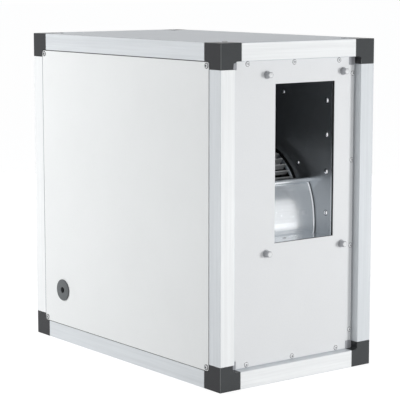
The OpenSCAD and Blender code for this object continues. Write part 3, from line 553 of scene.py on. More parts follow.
# %% Corner blocks
BLOCK_EDGE, BLOCK_RADIUS = 9, 1.1
RELIEVED, ARM_EDGE, ARM_RELIEF, ARM_SPAN = (1, 5), -0.137, 3.5, (0.0305, 0.0435)
for number in range(1, 9):
    node = f"corner_block_{number}"
    build = welded(node)
    if number in RELIEVED:
        for vertex in build.verts:
            from_end = min(vertex.co.z, 2 * CABINET_MIDDLE.z - vertex.co.z)
            if abs(vertex.co.x - ARM_EDGE) < 2e-4 and ARM_SPAN[0] < from_end < ARM_SPAN[1]:
                vertex.co.x -= ARM_RELIEF * MM
    outside = outer_faces(build, outer_planes(*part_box(node)))
    count = ease(build, outside, BLOCK_EDGE * MM, BLOCK_RADIUS, segments=3)
    block = solid(f"corner_moulding_{number}", build, black_nylon, shaded_nylon, rubbed_nylon)
    # Side faces get painted shade, eased upright edges a painted highlight
    for face in block.data.polygons:
        x, y, z = (abs(part) for part in face.normal)
        if x > 0.9:
            face.material_index = 1
        elif min(x, y) > 0.25 and z < 0.2:
            face.material_index = 2
    print(node, "edges eased:", count)
    piece(block, "cabinet", "black_nylon", node)

# %% [markdown]
# ## Front sheet
# The front sheet is cut a little narrower than its place, and a black sealing bead along its two
# long edges shows as a fine line; its black is partly the seal's own and partly painted shade for
# the gap. The laser-cut edge itself is broken by a few tenths.


# %% Front sheet
SEAL, BROKEN_EDGE = 1.1, 0.25
low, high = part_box("front_panel")
build = welded("front_panel")
for vertex in build.verts:
    if abs(vertex.co.x) > high[0] - 0.3 * MM:
        vertex.co.x -= math.copysign(SEAL * MM, vertex.co.x)
ends = [v.co.z / MM for v in build.verts if abs(v.co.x) > high[0] - (SEAL + 0.3) * MM]
front = solid("front_sheet_panel", build, front_sheet)
bevel = front.modifiers.new("ease", "BEVEL")
bevel.width, bevel.segments = BROKEN_EDGE * MM, 2
bevel.limit_method, bevel.angle_limit = "ANGLE", SHARP
piece(baked(front), "cabinet", "panel_sheet", "front_panel", sharp=30)


# %% Its two seals
def pulled(build, section, low, high):
    """Pulls a closed section of (x, y) points, in millimetres, from one height to another."""
    rows = [[build.verts.new((x * MM, y * MM, z * MM)) for x, y in section] for z in (low, high)]
    bridge(build, *rows)
    build.faces.new(rows[0][::-1])
    build.faces.new(rows[1])


build = bmesh.new()
edge, face_y, back_y = high[0] / MM, low[1] / MM + BROKEN_EDGE, high[1] / MM
for side in (-1, 1):
    bead = [(side * (edge - SEAL), back_y), (side * (edge - SEAL), face_y + 0.2),
            (side * (edge - SEAL * 0.6), face_y), (side * (edge - SEAL * 0.3), face_y),
            (side * (edge - 0.05), face_y + 0.3), (side * (edge - 0.05), back_y)]
    pulled(build, bead, min(ends), max(ends))
# Black beads in the gaps: partly seal colour, partly painted shade
piece(solid("front_seals", build, black_rubber), "cabinet", "black_rubber", sharp=50)

# %% [markdown]
# ## Seals round the trays
# The side covers and the top are trays that lie flush in the frame. A rubber seal stays in the gap
# round each, a millimetre below the surface; its black is partly the rubber's own and partly
# painted shade for the gap, and it shows as a thin dark outline.


# %% Tray seals
SEAL_SECTION = [(0.12, 0.6), (0.6, 0.3), (1.12, 0.6), (1.12, 8), (0.12, 8)]


def ring_round(build, low, high, axis, outwards):
    """Sweeps the seal round a tray: points are (gap from its edge, depth below its face)."""
    across, up = [a for a in range(3) if a != axis]
    face = (high if outwards > 0 else low)[axis]
    corners = []
    for side, rise in ((-1, -1), (1, -1), (1, 1), (-1, 1)):
        row = []
        for gap, depth in SEAL_SECTION:
            point = [0, 0, 0]
            point[axis] = face - outwards * depth * MM
            point[across] = (high if side > 0 else low)[across] + side * gap * MM
            point[up] = (high if rise > 0 else low)[up] + rise * gap * MM
            row.append(build.verts.new(point))
        corners.append(row)
    for here, there in zip(corners, corners[1:] + corners[:1]):
        bridge(build, here, there)


build = bmesh.new()
for node, axis, outwards in (("access_panel", 0, -1), ("right_panel", 0, 1), ("top_panel", 2, 1)):
    low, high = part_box(node)
    print(node, "tray from", tuple(low), "to", tuple(high))
    ring_round(build, low, high, axis, outwards)
# Black strips in the gaps: partly rubber colour, partly painted shade
piece(solid("tray_seals", build, black_rubber), "cabinet", "black_rubber", sharp=35)

# %% [markdown]
# ## A section drawn by a rule
# Two of the blower's parts are thin sheet bent to a rule: a blade is an arc, and the scroll is a
# logarithmic spiral. Geometry Nodes draws such a section as a closed line whose points run out
# along one face of the sheet and back along the other, fills it and pulls it out to its length.


# %% Drawing a bent sheet in Geometry Nodes
def geometry_tree(name, inputs):
    """A tree with named inputs, its input sockets by name and its last node."""
    tree = bpy.data.node_groups.new(name, "GeometryNodeTree")
    start, end = sockets(tree, [("Geometry", "Geometry", None), *inputs],
                         [("Geometry", "Geometry")])
    return tree, {socket.name: socket for socket in start.outputs}, end


def run_tree(name, tree, mesh=None, **values):
    """Runs a tree on an object and keeps what comes out as its plain mesh."""
    made = linked(name, mesh or bpy.data.meshes.new(name))
    modifier = made.modifiers.new("build", "NODES")
    modifier.node_group = tree
    for item in tree.interface.items_tree:
        if item.item_type == "SOCKET" and item.in_out == "INPUT":
            key = item.name.lower().replace(" ", "_")
            if key in values:
                modifier[item.identifier] = values[key]
    return baked(made)


def there_and_back(tree, steps):
    """A closed line of 2 x steps points, with how far each is along the sheet and its side."""
    calc = partial(math_node, tree)
    index = put(tree, "GeometryNodeInputIndex")
    middle = steps - 0.5
    from_middle = calc("ABSOLUTE", calc("SUBTRACT", index, middle))
    along = calc("DIVIDE", calc("SUBTRACT", middle, from_middle), steps - 1)
    line = put(tree, "GeometryNodeCurvePrimitiveCircle", 2 * steps)
    return line, along, calc("LESS_THAN", index, middle)


def polar(tree, radius, angle, centre=None):
    """A point at a radius and an angle round a centre."""
    calc = partial(math_node, tree)
    x = calc("MULTIPLY", radius, calc("COSINE", angle))
    y = calc("MULTIPLY", radius, calc("SINE", angle))
    if centre:
        x, y = calc("ADD", x, centre[0]), calc("ADD", y, centre[1])
    return put(tree, "ShaderNodeCombineXYZ", x, y)


def pulled_out(tree, line, length):
    """Fills a closed line and pulls it out along Z into a closed solid."""
    face = put(tree, "GeometryNodeFillCurve", line, mode="NGONS")
    up = put(tree, "ShaderNodeCombineXYZ", 0.0, 0.0, 1.0)
    wall = put(tree, "GeometryNodeExtrudeMesh", face, None, up, length, False)
    joined = put(tree, "GeometryNodeJoinGeometry")
    tree.links.new(wall, joined.node.inputs[0])
    tree.links.new(put(tree, "GeometryNodeFlipFaces", face), joined.node.inputs[0])
    return put(tree, "GeometryNodeMergeByDistance", joined, None, 1e-6)


def closing(tree, end, geometry, material):
    """The last two steps of every tree."""
    real = put(tree, "GeometryNodeRealizeInstances", geometry)
    tree.links.new(put(tree, "GeometryNodeSetMaterial", real, None, material), end.inputs[0])


print("section helpers ready")

# %% [markdown]
# ## Impeller blades
# Fifty-four forward-curved blades. Each is an arc of rolled strip, and the tree sets copies of one
# blade round the shaft.


# %% Impeller blades
BLADES, BLADE_POINTS, BLADE_START = 54, 9, -23.8


def blade_wheel():
    """The tree that bends one blade and sets copies of it round the shaft."""
    tree, given, end = geometry_tree("blade_wheel", [
        ("Blades", "Int", BLADES), ("Bend Radius", "Float", 0.017),
        ("Centre Out", "Float", 0.104), ("Centre Ahead", "Float", 0.013),
        ("Thickness", "Float", 0.001), ("From", "Float", -1.934), ("To", "Float", -0.702),
        ("Length", "Float", 0.0976), ("Material", "Material", None)])
    calc = partial(math_node, tree)
    line, along, side = there_and_back(tree, BLADE_POINTS)
    half = calc("MULTIPLY", given["Thickness"], calc("SUBTRACT", side, 0.5))
    bend = calc("ADD", given["Bend Radius"], half)
    turn = put(tree, "ShaderNodeMapRange", along, 0.0, 1.0, given["From"], given["To"])
    section = put(tree, "GeometryNodeSetPosition", line, None,
                  polar(tree, bend, turn, (given["Centre Out"], given["Centre Ahead"])))
    spots = put(tree, "GeometryNodeMeshLine", given["Blades"])
    spots.node.inputs["Offset"].default_value = (0, 0, 0)
    share = calc("DIVIDE", calc("MULTIPLY", put(tree, "GeometryNodeInputIndex"), 2 * math.pi),
                 given["Blades"])
    placed = put(tree, "GeometryNodeInstanceOnPoints", spots)
    tree.links.new(pulled_out(tree, section, given["Length"]), placed.node.inputs["Instance"])
    tree.links.new(put(tree, "ShaderNodeCombineXYZ", 0.0, 0.0, share),
                   placed.node.inputs["Rotation"])
    closing(tree, end, placed, given["Material"])
    return tree


blades = run_tree("rolled_blades", blade_wheel(), material=blade_steel, blades=BLADES)
blades.data.transform(on_shaft(BLADE_START))
piece(blades, "impeller", "blade_steel", "impeller_blades", sharp=50)

# %% [markdown]
# ## The scroll
# The housing's wrap follows a spiral whose radius grows at a rate of 13% per radian, so the air has
# more room towards the outlet. At the cutoff its edge is rolled into a hem, and at the top it runs
# flat.


# %% The scroll's rule
START_R, TONGUE_R, GROWTH, WRAP_T = 129.9914, 125.99, 0.13, 1.2
TONGUE_TURN, LEFT_X, RIGHT_X = math.radians(28), -40.5, 90.5
SCROLL_POINTS, HEM_POINTS = 110, 12
HEM_FROM, HEM_TO, MODEL_HEM = math.radians(-30), math.radians(290), 0.003


def spiral_sheet(tree, given):
    """The wrap: a narrowing tongue, the spiral and a flat end."""
    calc = partial(math_node, tree)
    last = SCROLL_POINTS - 1
    line, along, side = there_and_back(tree, SCROLL_POINTS)
    angle = put(tree, "ShaderNodeMapRange", along, 0.0, (SCROLL_POINTS - 2) / last,
                calc("MULTIPLY", given["Tongue Angle"], -1.0), given["End Angle"])
    spiral = calc("MULTIPLY", given["Start Radius"],
                  calc("EXPONENT", calc("MULTIPLY", angle, given["Growth"])))
    narrowing = calc("DIVIDE", calc("SUBTRACT", given["Start Radius"], given["Tongue Radius"]),
                     given["Tongue Angle"])
    tongue = calc("ADD", given["Start Radius"], calc("MULTIPLY", angle, narrowing))
    radius = put(tree, "ShaderNodeMix", calc("LESS_THAN", angle, 0.0), spiral, tongue)
    skin = calc("MULTIPLY", given["Thickness"], side)
    bent_point = polar(tree, calc("ADD", radius, skin), calc("ADD", angle, math.pi))
    flat_point = put(tree, "ShaderNodeCombineXYZ", given["Reach"], calc("ADD", given["Top"], skin))
    is_flat = calc("GREATER_THAN", along, (SCROLL_POINTS - 1.5) / last)
    where = put(tree, "ShaderNodeMix", is_flat, bent_point, flat_point, data_type="VECTOR")
    return pulled_out(tree, put(tree, "GeometryNodeSetPosition", line, None, where),
                      given["Width"])


def rolled_hem(tree, given):
    """The hem: a strip curled round a centre just outside the tongue's edge."""
    calc = partial(math_node, tree)
    line, along, side = there_and_back(tree, HEM_POINTS)
    curl = put(tree, "ShaderNodeMapRange", along, 0.0, 1.0, HEM_FROM, HEM_TO)
    curl_radius = calc("SUBTRACT", given["Hem Radius"], calc("MULTIPLY", given["Thickness"], side))
    hem_out = calc("ADD", given["Tongue Radius"], calc("MULTIPLY", given["Hem Radius"], 0.5))
    hem_back = calc("DIVIDE", calc("SUBTRACT", given["Hem Radius"], MODEL_HEM),
                    given["Tongue Radius"])
    hem_angle = calc("ADD", calc("SUBTRACT", math.pi, given["Tongue Angle"]), hem_back)
    where = put(tree, "ShaderNodeVectorMath", polar(tree, curl_radius, curl),
                polar(tree, hem_out, hem_angle), operation="ADD")
    return pulled_out(tree, put(tree, "GeometryNodeSetPosition", line, None, where),
                      given["Width"])


print("the wrap starts at", START_R, "mm and ends", LEFT_X, "to", RIGHT_X, "mm along the shaft")

# %% Scroll
scroll_tree, given, end = geometry_tree("scroll_wrap", [
    ("Start Radius", "Float", START_R * MM), ("Growth", "Float", GROWTH),
    ("Tongue Radius", "Float", TONGUE_R * MM), ("Tongue Angle", "Float", TONGUE_TURN),
    ("End Angle", "Float", math.radians(262.593)), ("Reach", "Float", -0.17179),
    ("Top", "Float", 0.2339), ("Thickness", "Float", WRAP_T * MM), ("Hem Radius", "Float", 0.0052),
    ("Width", "Float", (RIGHT_X - LEFT_X) * MM), ("Material", "Material", None)])
joined = put(scroll_tree, "GeometryNodeJoinGeometry")
for part in (spiral_sheet, rolled_hem):
    scroll_tree.links.new(part(scroll_tree, given), joined.node.inputs[0])
closing(scroll_tree, end, joined, given["Material"])
scroll = run_tree("bent_scroll", scroll_tree, material=galvanised)
scroll.data.transform(on_shaft(LEFT_X))
build = bmesh.new()
build.from_mesh(scroll.data)
bmesh.ops.recalc_face_normals(build, faces=build.faces)
build.to_mesh(scroll.data)
build.free()
piece(scroll, "cabinet", "galvanised_sheet", "scroll_wrap", sharp=50)

# %% [markdown]
# ## The scroll's side seams
# Along both edges the wrap is folded over the side plates and sealed. The fold stands up as a slim
# bright ridge, and the black sealant beside it, partly its own colour and partly painted shade for
# the gap at the side plate, shows as a dark line.


# %% Side seams
SEAM_START, SEAM_END, SEAM_STEPS = -25, 60, 40


def wrap_radius(degrees):
    """The wrap's outer radius, in millimetres, at an angle past the cutoff."""
    turn = math.radians(degrees)
    if turn < 0:
        return START_R + WRAP_T + turn * (START_R - TONGUE_R) / TONGUE_TURN
    return START_R * math.exp(GROWTH * turn) + WRAP_T


def along_wrap(build, section, edge, inward):
    """Sweeps a closed section of (distance from the edge, height) along the wrap."""
    rows = []
    for step in range(SEAM_STEPS + 1):
        degrees = SEAM_START + (SEAM_END - SEAM_START) * step / SEAM_STEPS
        turn = math.radians(180 + degrees)
        rows.append([build.verts.new(on_shaft(0) @ Vector((
            (wrap_radius(degrees) + up) * MM * math.cos(turn),
            (wrap_radius(degrees) + up) * MM * math.sin(turn), (edge + inward * off) * MM)))
            for off, up in section])
    for here, there in zip(rows, rows[1:]):
        bridge(build, here, there)
    build.faces.new(rows[0])
    build.faces.new(rows[-1][::-1])


SEAMS = {
    "folded_seams": ([(1.0, -0.1), (1.0, 0.5), (1.4, 0.8), (2.8, 0.8), (3.6, 0.4), (4.2, -0.1)],
                     galvanised, "galvanised_sheet"),
    "seam_sealant": ([(0, -0.1), (0, 0.5), (1.0, 0.35), (1.0, -0.1)], black_rubber,
                     "black_rubber"),
}
# The sealant's black is partly its own colour and partly painted shade for the gap
for name, (section, material, slot) in SEAMS.items():
    build = bmesh.new()
    along_wrap(build, section, LEFT_X, 1)
    along_wrap(build, section, RIGHT_X, -1)
    piece(solid(name, build, material), "cabinet", slot, sharp=35)

# %% [markdown]
# ## Turned and spun parts
# End rings, inlet rings and the cable grommet are round, so each is one profile turned about its
# axis, with the radii of its bends drawn in.

# %% End rings and inlet rings
HOOP, THROAT, BELL, SHEET_T = 118.24, 97.99, 14, 1.2
hoop = [*arc(HOOP - 0.6, 7.4, 0.6, 90, 0, 3), *arc(HOOP - 2.4, 2.4, 2.4, 0, -90, 5),
        (HOOP - 6.6, 0), (HOOP - 7, 0.4), (HOOP - 7, 0.8), (HOOP - 6.6, 1.2),
        *arc(HOOP - 2.4, 2.4, 1.2, -90, 0, 4), (HOOP - 1.2, 7.6), (HOOP - 1, 8)]
mirror = Matrix.Diagonal((1, 1, -1, 1))
turned_piece("hooped_end_rings",
             [(hoop, 144, on_shaft(-25)), (hoop, 144, on_shaft(75) @ mirror)],
             black_coat, "impeller", "black_steel", "impeller_end_rings")

bell = [*arc(THROAT + BELL, SHEET_T - BELL, BELL, 180, 90, 12), (THROAT + BELL + 17.6, SHEET_T),
        (THROAT + BELL + 18, SHEET_T - 0.4), (THROAT + BELL + 18, 0.4), (THROAT + BELL + 17.6, 0),
        *arc(THROAT + BELL, SHEET_T - BELL, BELL - SHEET_T, 90, 180, 12)]
for name, place in (("left", on_shaft(LEFT_X - SHEET_T) @ mirror),
                    ("right", on_shaft(RIGHT_X + SHEET_T))):
    turned_piece(f"spun_inlet_{name}", [(bell, 144, place)], plate_steel, "cabinet",
                 "galvanised_sheet", f"inlet_ring_{name}")

# %% Cable grommet
LIP, GROMMET, NECK, HOLE, PANEL_T = 2.2, 20, 16, 5.5, 1.2
grommet = [(HOLE + 0.5, LIP), *arc(GROMMET - 1.1, 1.1, 1.1, 90, -90, 6), (NECK + 0.3, 0),
           (NECK, -0.3), (NECK, 0.3 - PANEL_T), (NECK + 0.3, -PANEL_T), (GROMMET - 1.6, -PANEL_T),
           *arc(GROMMET - 1.6, -PANEL_T - LIP / 2, LIP / 2, 90, -90, 5),
           (HOLE + 0.5, -PANEL_T - LIP), (HOLE, -PANEL_T - LIP + 0.5), (HOLE, LIP - 0.5)]
facing_left = Matrix.Translation((-0.167, 0.19, 0.097)) @ Matrix.Rotation(-math.pi / 2, 4, "Y")
turned_piece("moulded_grommet", [(grommet, 72, facing_left)], grommet_rubber, "access_cover",
             "grey_rubber", "cable_grommet")

# %% [markdown]
# ## Motor shell
# The motor's rolled shell is turned with shallow cooling grooves on both sides of the belly band.
# It is one lathe profile: out along the ribs, back along the smooth bore.

# %% Motor shell
MOTOR, SHELL_T, RIB_PITCH, RIB_DEEP = 62, 2.5, 4, 0.9
shell_low, shell_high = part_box("motor_shell")
band_low, band_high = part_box("motor_arms")
first, length = shell_low[0] / MM, shell_high[0] / MM - shell_low[0] / MM
band = (band_low[0] / MM - 1, band_high[0] / MM + 1)
shell = [(MOTOR - SHELL_T, 0), (MOTOR - 0.4, 0), (MOTOR, 0.4)]
rib = RIB_PITCH
while rib < length - RIB_PITCH:
    if not band[0] - RIB_PITCH < first + rib < band[1] + 1:
        shell += [(MOTOR, rib), (MOTOR - RIB_DEEP, rib + 0.4), (MOTOR - RIB_DEEP, rib + 1.6),
                  (MOTOR, rib + 2)]
    rib += RIB_PITCH
shell += [(MOTOR, length - 0.4), (MOTOR - 0.4, length), (MOTOR - SHELL_T, length)]
turned_piece("grooved_shell", [(shell, 96, on_shaft(first))], motor_paint, "cabinet",
             "motor_paint", "motor_shell")

# %% [markdown]
# ## Fasteners
# Rivets, screws and bolts repeat all over the cabinet. Their places are read from the engineering
# model: every fastener there is an island of triangles, and its round head tells which way it faces
# and where it sits. One tree sets a detailed head on each place, turned by a seeded angle, with a
# black ring round it as painted shadow in its gap and a black bottom in its drive or pin hole as
# painted shade.


# %% Where the fasteners are
Seat = namedtuple("Seat", "place facing radius depth")


def islands(node):
    """The corner points of each separate solid of a node, as arrays."""
    build = merged(node)
    unseen = set(build.verts)
    found = []
    for start in build.verts:
        if start not in unseen:
            continue
        unseen.discard(start)
        group, edge_of_search = [start], [start]
        while edge_of_search:
            vertex = edge_of_search.pop()
            for edge in vertex.link_edges:
                other = edge.other_vert(vertex)
                if other in unseen:
                    unseen.discard(other)
                    group.append(other)
                    edge_of_search.append(other)
        found.append(np.array([vertex.co for vertex in group]))
    build.free()
    return found


def seat(points):
    """Where a round-headed fastener sits and faces, its head's radius and its depth behind it."""
    low, high = points.min(0), points.max(0)
    spans = high - low
    pairs = [abs(spans[1] - spans[2]), abs(spans[0] - spans[2]), abs(spans[0] - spans[1])]
    axis = int(np.argmin(pairs))
    middle = (low + high) / 2
    flat = np.delete(points - middle, axis, 1)
    reach = np.hypot(flat[:, 0], flat[:, 1])
    rim = points[reach > reach.max() - 5e-5, axis].mean()
    ends = [reach[points[:, axis] < low[axis] + 1e-5].max(),
            reach[points[:, axis] > high[axis] - 1e-5].max()]
    facing = np.zeros(3)
    facing[axis] = -1 if ends[0] < ends[1] else 1
    place = middle.copy()
    place[axis] = rim
    depth = (rim - low[axis]) if facing[axis] > 0 else (high[axis] - rim)
    return Seat(place, facing, reach.max(), depth)


def size_of(spot):
    """A fastener's head radius and its depth, to a tenth of a millimetre."""
    return round(spot.radius * 1000, 1), round(spot.depth * 1000, 1)


places = {node: [seat(points) for points in islands(node)]
          for node in ("sheet_rivets", "panel_screws", "access_screws", "housing_rivets",
                       "inlet_ring_bolts")}
for node, spots in places.items():
    print(node, len(spots), "sizes in mm", sorted({size_of(spot) for spot in spots}))

# %% The tree that sets fasteners on points
fastener_tree, given, end = geometry_tree("fasteners_on_points", [
    ("Head", "Object", None), ("Mark", "Object", None), ("Head Material", "Material", None),
    ("Mark Material", "Material", None), ("Seed", "Int", 7)])
turned = put(fastener_tree, "FunctionNodeRandomValue", data_type="FLOAT").node
turned.inputs[3].default_value = 2 * math.pi
fastener_tree.links.new(given["Seed"], turned.inputs["Seed"])
facing = put(fastener_tree, "GeometryNodeInputNamedAttribute", "facing",
             data_type="FLOAT_VECTOR")
aligned = put(fastener_tree, "FunctionNodeAlignRotationToVector", None, None, facing, axis="Z")
spun = put(fastener_tree, "FunctionNodeRotateRotation", aligned, rotation_space="LOCAL")
spin = put(fastener_tree, "FunctionNodeAxisAngleToRotation", (0, 0, 1),
           next(s for s in turned.outputs if s.enabled))
fastener_tree.links.new(spin, spun.node.inputs[1])
both_parts = put(fastener_tree, "GeometryNodeJoinGeometry")
for part in ("Head", "Mark"):
    shape = put(fastener_tree, "GeometryNodeObjectInfo", given[part])
    placed = put(fastener_tree, "GeometryNodeInstanceOnPoints", given["Geometry"])
    fastener_tree.links.new(shape.node.outputs["Geometry"], placed.node.inputs["Instance"])
    fastener_tree.links.new(spun, placed.node.inputs["Rotation"])
    real = put(fastener_tree, "GeometryNodeRealizeInstances", placed)
    coated = put(fastener_tree, "GeometryNodeSetMaterial", real, None, given[part + " Material"])
    fastener_tree.links.new(coated, both_parts.node.inputs[0])
fastener_tree.links.new(both_parts, end.inputs[0])
print("fastener tree:", len(fastener_tree.nodes), "nodes")


# %% Heads and their dark parts
UPRIGHT = Matrix.Identity(4)
# Width and height of the black ring round a head: painted shadow in its gap
GAP, SCREW_GAP = (0.5, 0.12), (0.8, 0.6)


def head_of(name, profile):
    """A turned head as a template, its seat at the origin and its top along Z."""
    build = bmesh.new()
    lathe(build, profile, 24, UPRIGHT, closed=False)
    return solid(name, build)


def dome_profile(radius, height, steps, flat=0.0):
    """From the rim of a low dome up to its crown, or to the edge of a flat on it."""
    ball = (radius * radius + height * height) / (2 * height)
    top = math.degrees(math.acos(min(1, flat / ball))) if flat else 90
    rim = math.degrees(math.acos(radius / ball))
    return arc(0, height - ball, ball, rim, top, steps)


def dark_part(name, radius, gap, drive=None, steps=12):
    """A black ring round a head, painted shadow in its gap, and a black drive or pin hole bottom,
    painted shade.
    """
    width, height = gap
    build = bmesh.new()
    if drive:
        lathe(build, drive, steps, UPRIGHT, closed=False)
    lathe(build, [(radius, 0), (radius + width, 0), (radius + 0.8 * width, 0.7 * height),
                  (radius, height)], 24, UPRIGHT)
    return solid(name, build)


def set_fasteners(name, spots, parts, head_finish, seed=7):
    """Sets a head and its black part, painted shade, on every spot and removes the two templates.
    """
    mesh = bpy.data.meshes.new(name)
    mesh.from_pydata([spot.place for spot in spots], [], [])
    towards = mesh.attributes.new("facing", "FLOAT_VECTOR", "POINT")
    towards.data.foreach_set("vector", np.array([spot.facing for spot in spots]).ravel())
    # The black of the mark part is painted shade and shadow
    made = run_tree(name, fastener_tree, mesh, head=parts[0], mark=parts[1],
                    head_material=head_finish, mark_material=black_coat, seed=seed)
    for attribute in [a for a in made.data.attributes if a.name == "facing"]:
        made.data.attributes.remove(attribute)
    for template in parts:
        bpy.data.objects.remove(template)
    return made


print("heads ready")


# %% Sheet rivets
RIVET, RIVET_UP, RIVET_SHANK, PIN = 3.8, 1.8, 2, 1.3


def rivet_parts(radius, height, shank, depth, pin):
    """A blind rivet's dome with the hole that its broken pin leaves."""
    head = head_of("rivet_head", [(0, -depth), (shank, -depth), (shank, -0.02), (radius, 0),
                                  *dome_profile(radius, height, 5, pin + 0.25),
                                  (pin, height - 0.25), (pin, height - 0.7), (0, height - 0.7)])
    pin_hole_shade = [(0, height - 0.65), (pin - 0.12, height - 0.65), (pin - 0.15, height - 0.45),
            (0, height - 0.35)]
    return head, dark_part("rivet_pin", radius, GAP, pin_hole_shade)


spots = places["sheet_rivets"]
parts = rivet_parts(RIVET, RIVET_UP, RIVET_SHANK, spots[0].depth * 1000, PIN)
piece(set_fasteners("blind_rivets", spots, parts, bright_rivet), "cabinet", "rivet_aluminium",
      "sheet_rivets", sharp=35)


# %% Panel screws
SCREW, SCREW_UP, SCREW_SHANK, DRIVE = 4, 2.2, 2.0, 2.0


def screw_parts(radius, height, shank, depth, drive):
    """A low round head with a six-sided drive hole."""
    head = head_of("screw_head", [(0, -depth), (shank, -depth), (shank, -0.02), (radius, 0),
                                  *dome_profile(radius, height, 6, drive + 0.2),
                                  (drive, height - 0.25), (drive, height - 1.3),
                                  (0, height - 1.5)])
    bottom = [(0, height - 1.25), (drive - 0.1, height - 1.2), (drive - 0.2, height - 1.1),
              (0, height - 1.15)]
    return head, dark_part("screw_drive", radius, SCREW_GAP, bottom, 6)


for name, node, body, seed in (("top_and_side_screws", "panel_screws", "cabinet", 11),
                               ("cover_screws", "access_screws", "access_cover", 12)):
    spots = places[node]
    parts = screw_parts(SCREW, SCREW_UP, SCREW_SHANK, spots[0].depth * 1000, DRIVE)
    piece(set_fasteners(name, spots, parts, zinc, seed=seed), body, "zinc_screws", node, sharp=35)


# %% Domed rivets and ring bolts inside the blower
DOME, DOME_UP, DOME_SHANK, DOME_SEED = 4.6, 2.4, 2, 20


def dome_parts(radius, height, shank, depth):
    """A plain dome."""
    head = head_of("dome_head", [(0, -depth), (shank, -depth), (shank, -0.02), (radius, 0),
                                 *dome_profile(radius, height, 8)])
    return head, dark_part("dome_gap", radius, GAP)


for name, node, slot in (("domed_rivets", "housing_rivets", "rivet_aluminium"),
                         ("inlet_bolts", "inlet_ring_bolts", "zinc_screws")):
    sets = []
    for radius, depth in sorted({size_of(spot) for spot in places[node]}):
        same = [spot for spot in places[node] if size_of(spot) == (radius, depth)]
        height = DOME_UP * min(1, radius / DOME) if node == "housing_rivets" else DOME_UP
        parts = dome_parts(radius, height, DOME_SHANK, depth)
        sets.append(set_fasteners(f"{name}_{len(sets)}", same, parts, polished_dome,
                                  seed=DOME_SEED + len(sets)))
    build = bmesh.new()
    finishes = list(sets[0].data.materials)
    for made in sets:
        build.from_mesh(made.data)
        bpy.data.objects.remove(made)
    piece(solid(name, build, *finishes), "cabinet", slot, node, sharp=35)

# %% [markdown]
# ## Outlet bolts
# Each of the four bolts is a washer, a turned collar and a hexagonal head, with a nut at its other
# end. Only the forward face of each head gets the pale zinc; every other face gets a darker copy,
# painted shade.


# %% Outlet bolts
SEAT_Y, LIT_FACE_Y = -0.2675, -0.2784
BOLT, BOLT_END, WASHER, WASHER_T, COLLAR, COLLAR_END = 3, 5.6, 6.8, 1.5, 5.2, 5.5
HEAD_FLATS, HEAD_END, NUT_FLATS, NUT_T = 9.5, 11, 11, 5
washer = [(BOLT, 0), (WASHER - 0.2, 0), (WASHER, 0.3), (WASHER, WASHER_T - 0.3),
          (WASHER - 0.2, WASHER_T), (BOLT, WASHER_T)]
collar = [(BOLT, WASHER_T), (COLLAR, WASHER_T), (COLLAR, COLLAR_END - 0.4),
          (COLLAR - 0.4, COLLAR_END), (BOLT, COLLAR_END)]


def hexagon(build, flats, low, high, place, edge=0.5):
    """A hexagonal head whose top corners are turned down."""
    rows = []
    for radius, z in ((flats / math.sqrt(3), low), (flats / math.sqrt(3), high - edge),
                      (flats / 2 - 0.3, high)):
        rows.append([build.verts.new(place @ Vector((radius * MM * math.cos(math.radians(a)),
                                                     radius * MM * math.sin(math.radians(a)),
                                                     z * MM))) for a in range(0, 360, 60)])
    build.faces.new(rows[0][::-1])
    build.faces.new(rows[-1])
    for under, over in zip(rows, rows[1:]):
        bridge(build, under, over)


bolts = islands("outlet_bolts")
bolt_places = sorted({(round(float(points[:, 0].min() + points[:, 0].max()) * 500),
                       round(float(points[:, 2].min() + points[:, 2].max()) * 500, 1))
                      for points in bolts})
behind = (max(float(points[:, 1].max()) for points in bolts) - SEAT_Y) / MM
shank = [(0, -behind), (BOLT, -behind), (BOLT, BOLT_END), (0, BOLT_END)]
build = bmesh.new()
for x, z in bolt_places:
    place = Matrix.Translation((x * MM, SEAT_Y, z * MM)) @ Matrix.Rotation(math.pi / 2, 4, "X")
    lathe(build, washer, 32, place)
    lathe(build, collar, 28, place)
    hexagon(build, HEAD_FLATS, COLLAR_END, HEAD_END, place)
    lathe(build, shank, 24, place, closed=False)
    hexagon(build, NUT_FLATS, -behind, NUT_T - behind, place)
build.normal_update()
# Forward head faces get the pale zinc, all others the darker copy: painted shade
for face in build.faces:
    is_front = face.calc_center_median().y < LIT_FACE_Y and abs(face.normal.y) > 0.95
    face.material_index = 0 if is_front else 1
piece(solid("hex_bolts", build, zinc, dull_zinc), "cabinet", "zinc_screws", "outlet_bolts",
      sharp=30)
print("outlet bolts at X, Z in mm:", bolt_places)

# %% [markdown]
# ## Light
# A product photograph like this one is taken in a white room. The room is white to the camera and
# to reflections, and plain pale light for everything else. A lamp at the left rear and a small one
# at the right front do most of the work, with a weak fill in front and one lamp at the right rear.
# No lamp shows in reflections, so that smooth metal mirrors only the white room and the flag.


# %% The white room
ROOM_LIGHT = 0.44


def seen_by(tree, *kinds):
    """1 for rays of these kinds and 0 for all others."""
    rays = put(tree, "ShaderNodeLightPath").node
    seen = rays.outputs[f"Is {kinds[0]} Ray"]
    for kind in kinds[1:]:
        seen = math_node(tree, "MAXIMUM", seen, rays.outputs[f"Is {kind} Ray"])
    return seen


world = bpy.data.worlds.new("white_room")
world.use_nodes = True
bpy.context.scene.world = world
room = world.node_tree
room.nodes.clear()
white = put(room, "ShaderNodeBackground", (1, 1, 1, 1), 1.0)
soft = put(room, "ShaderNodeBackground", (0.97, 0.985, 1, 1), ROOM_LIGHT)
mixed = put(room, "ShaderNodeMixShader", seen_by(room, "Camera", "Glossy", "Transmission"), soft,
            white)
room.links.new(mixed, put(room, "ShaderNodeOutputWorld").inputs[0])
print("room light", ROOM_LIGHT)

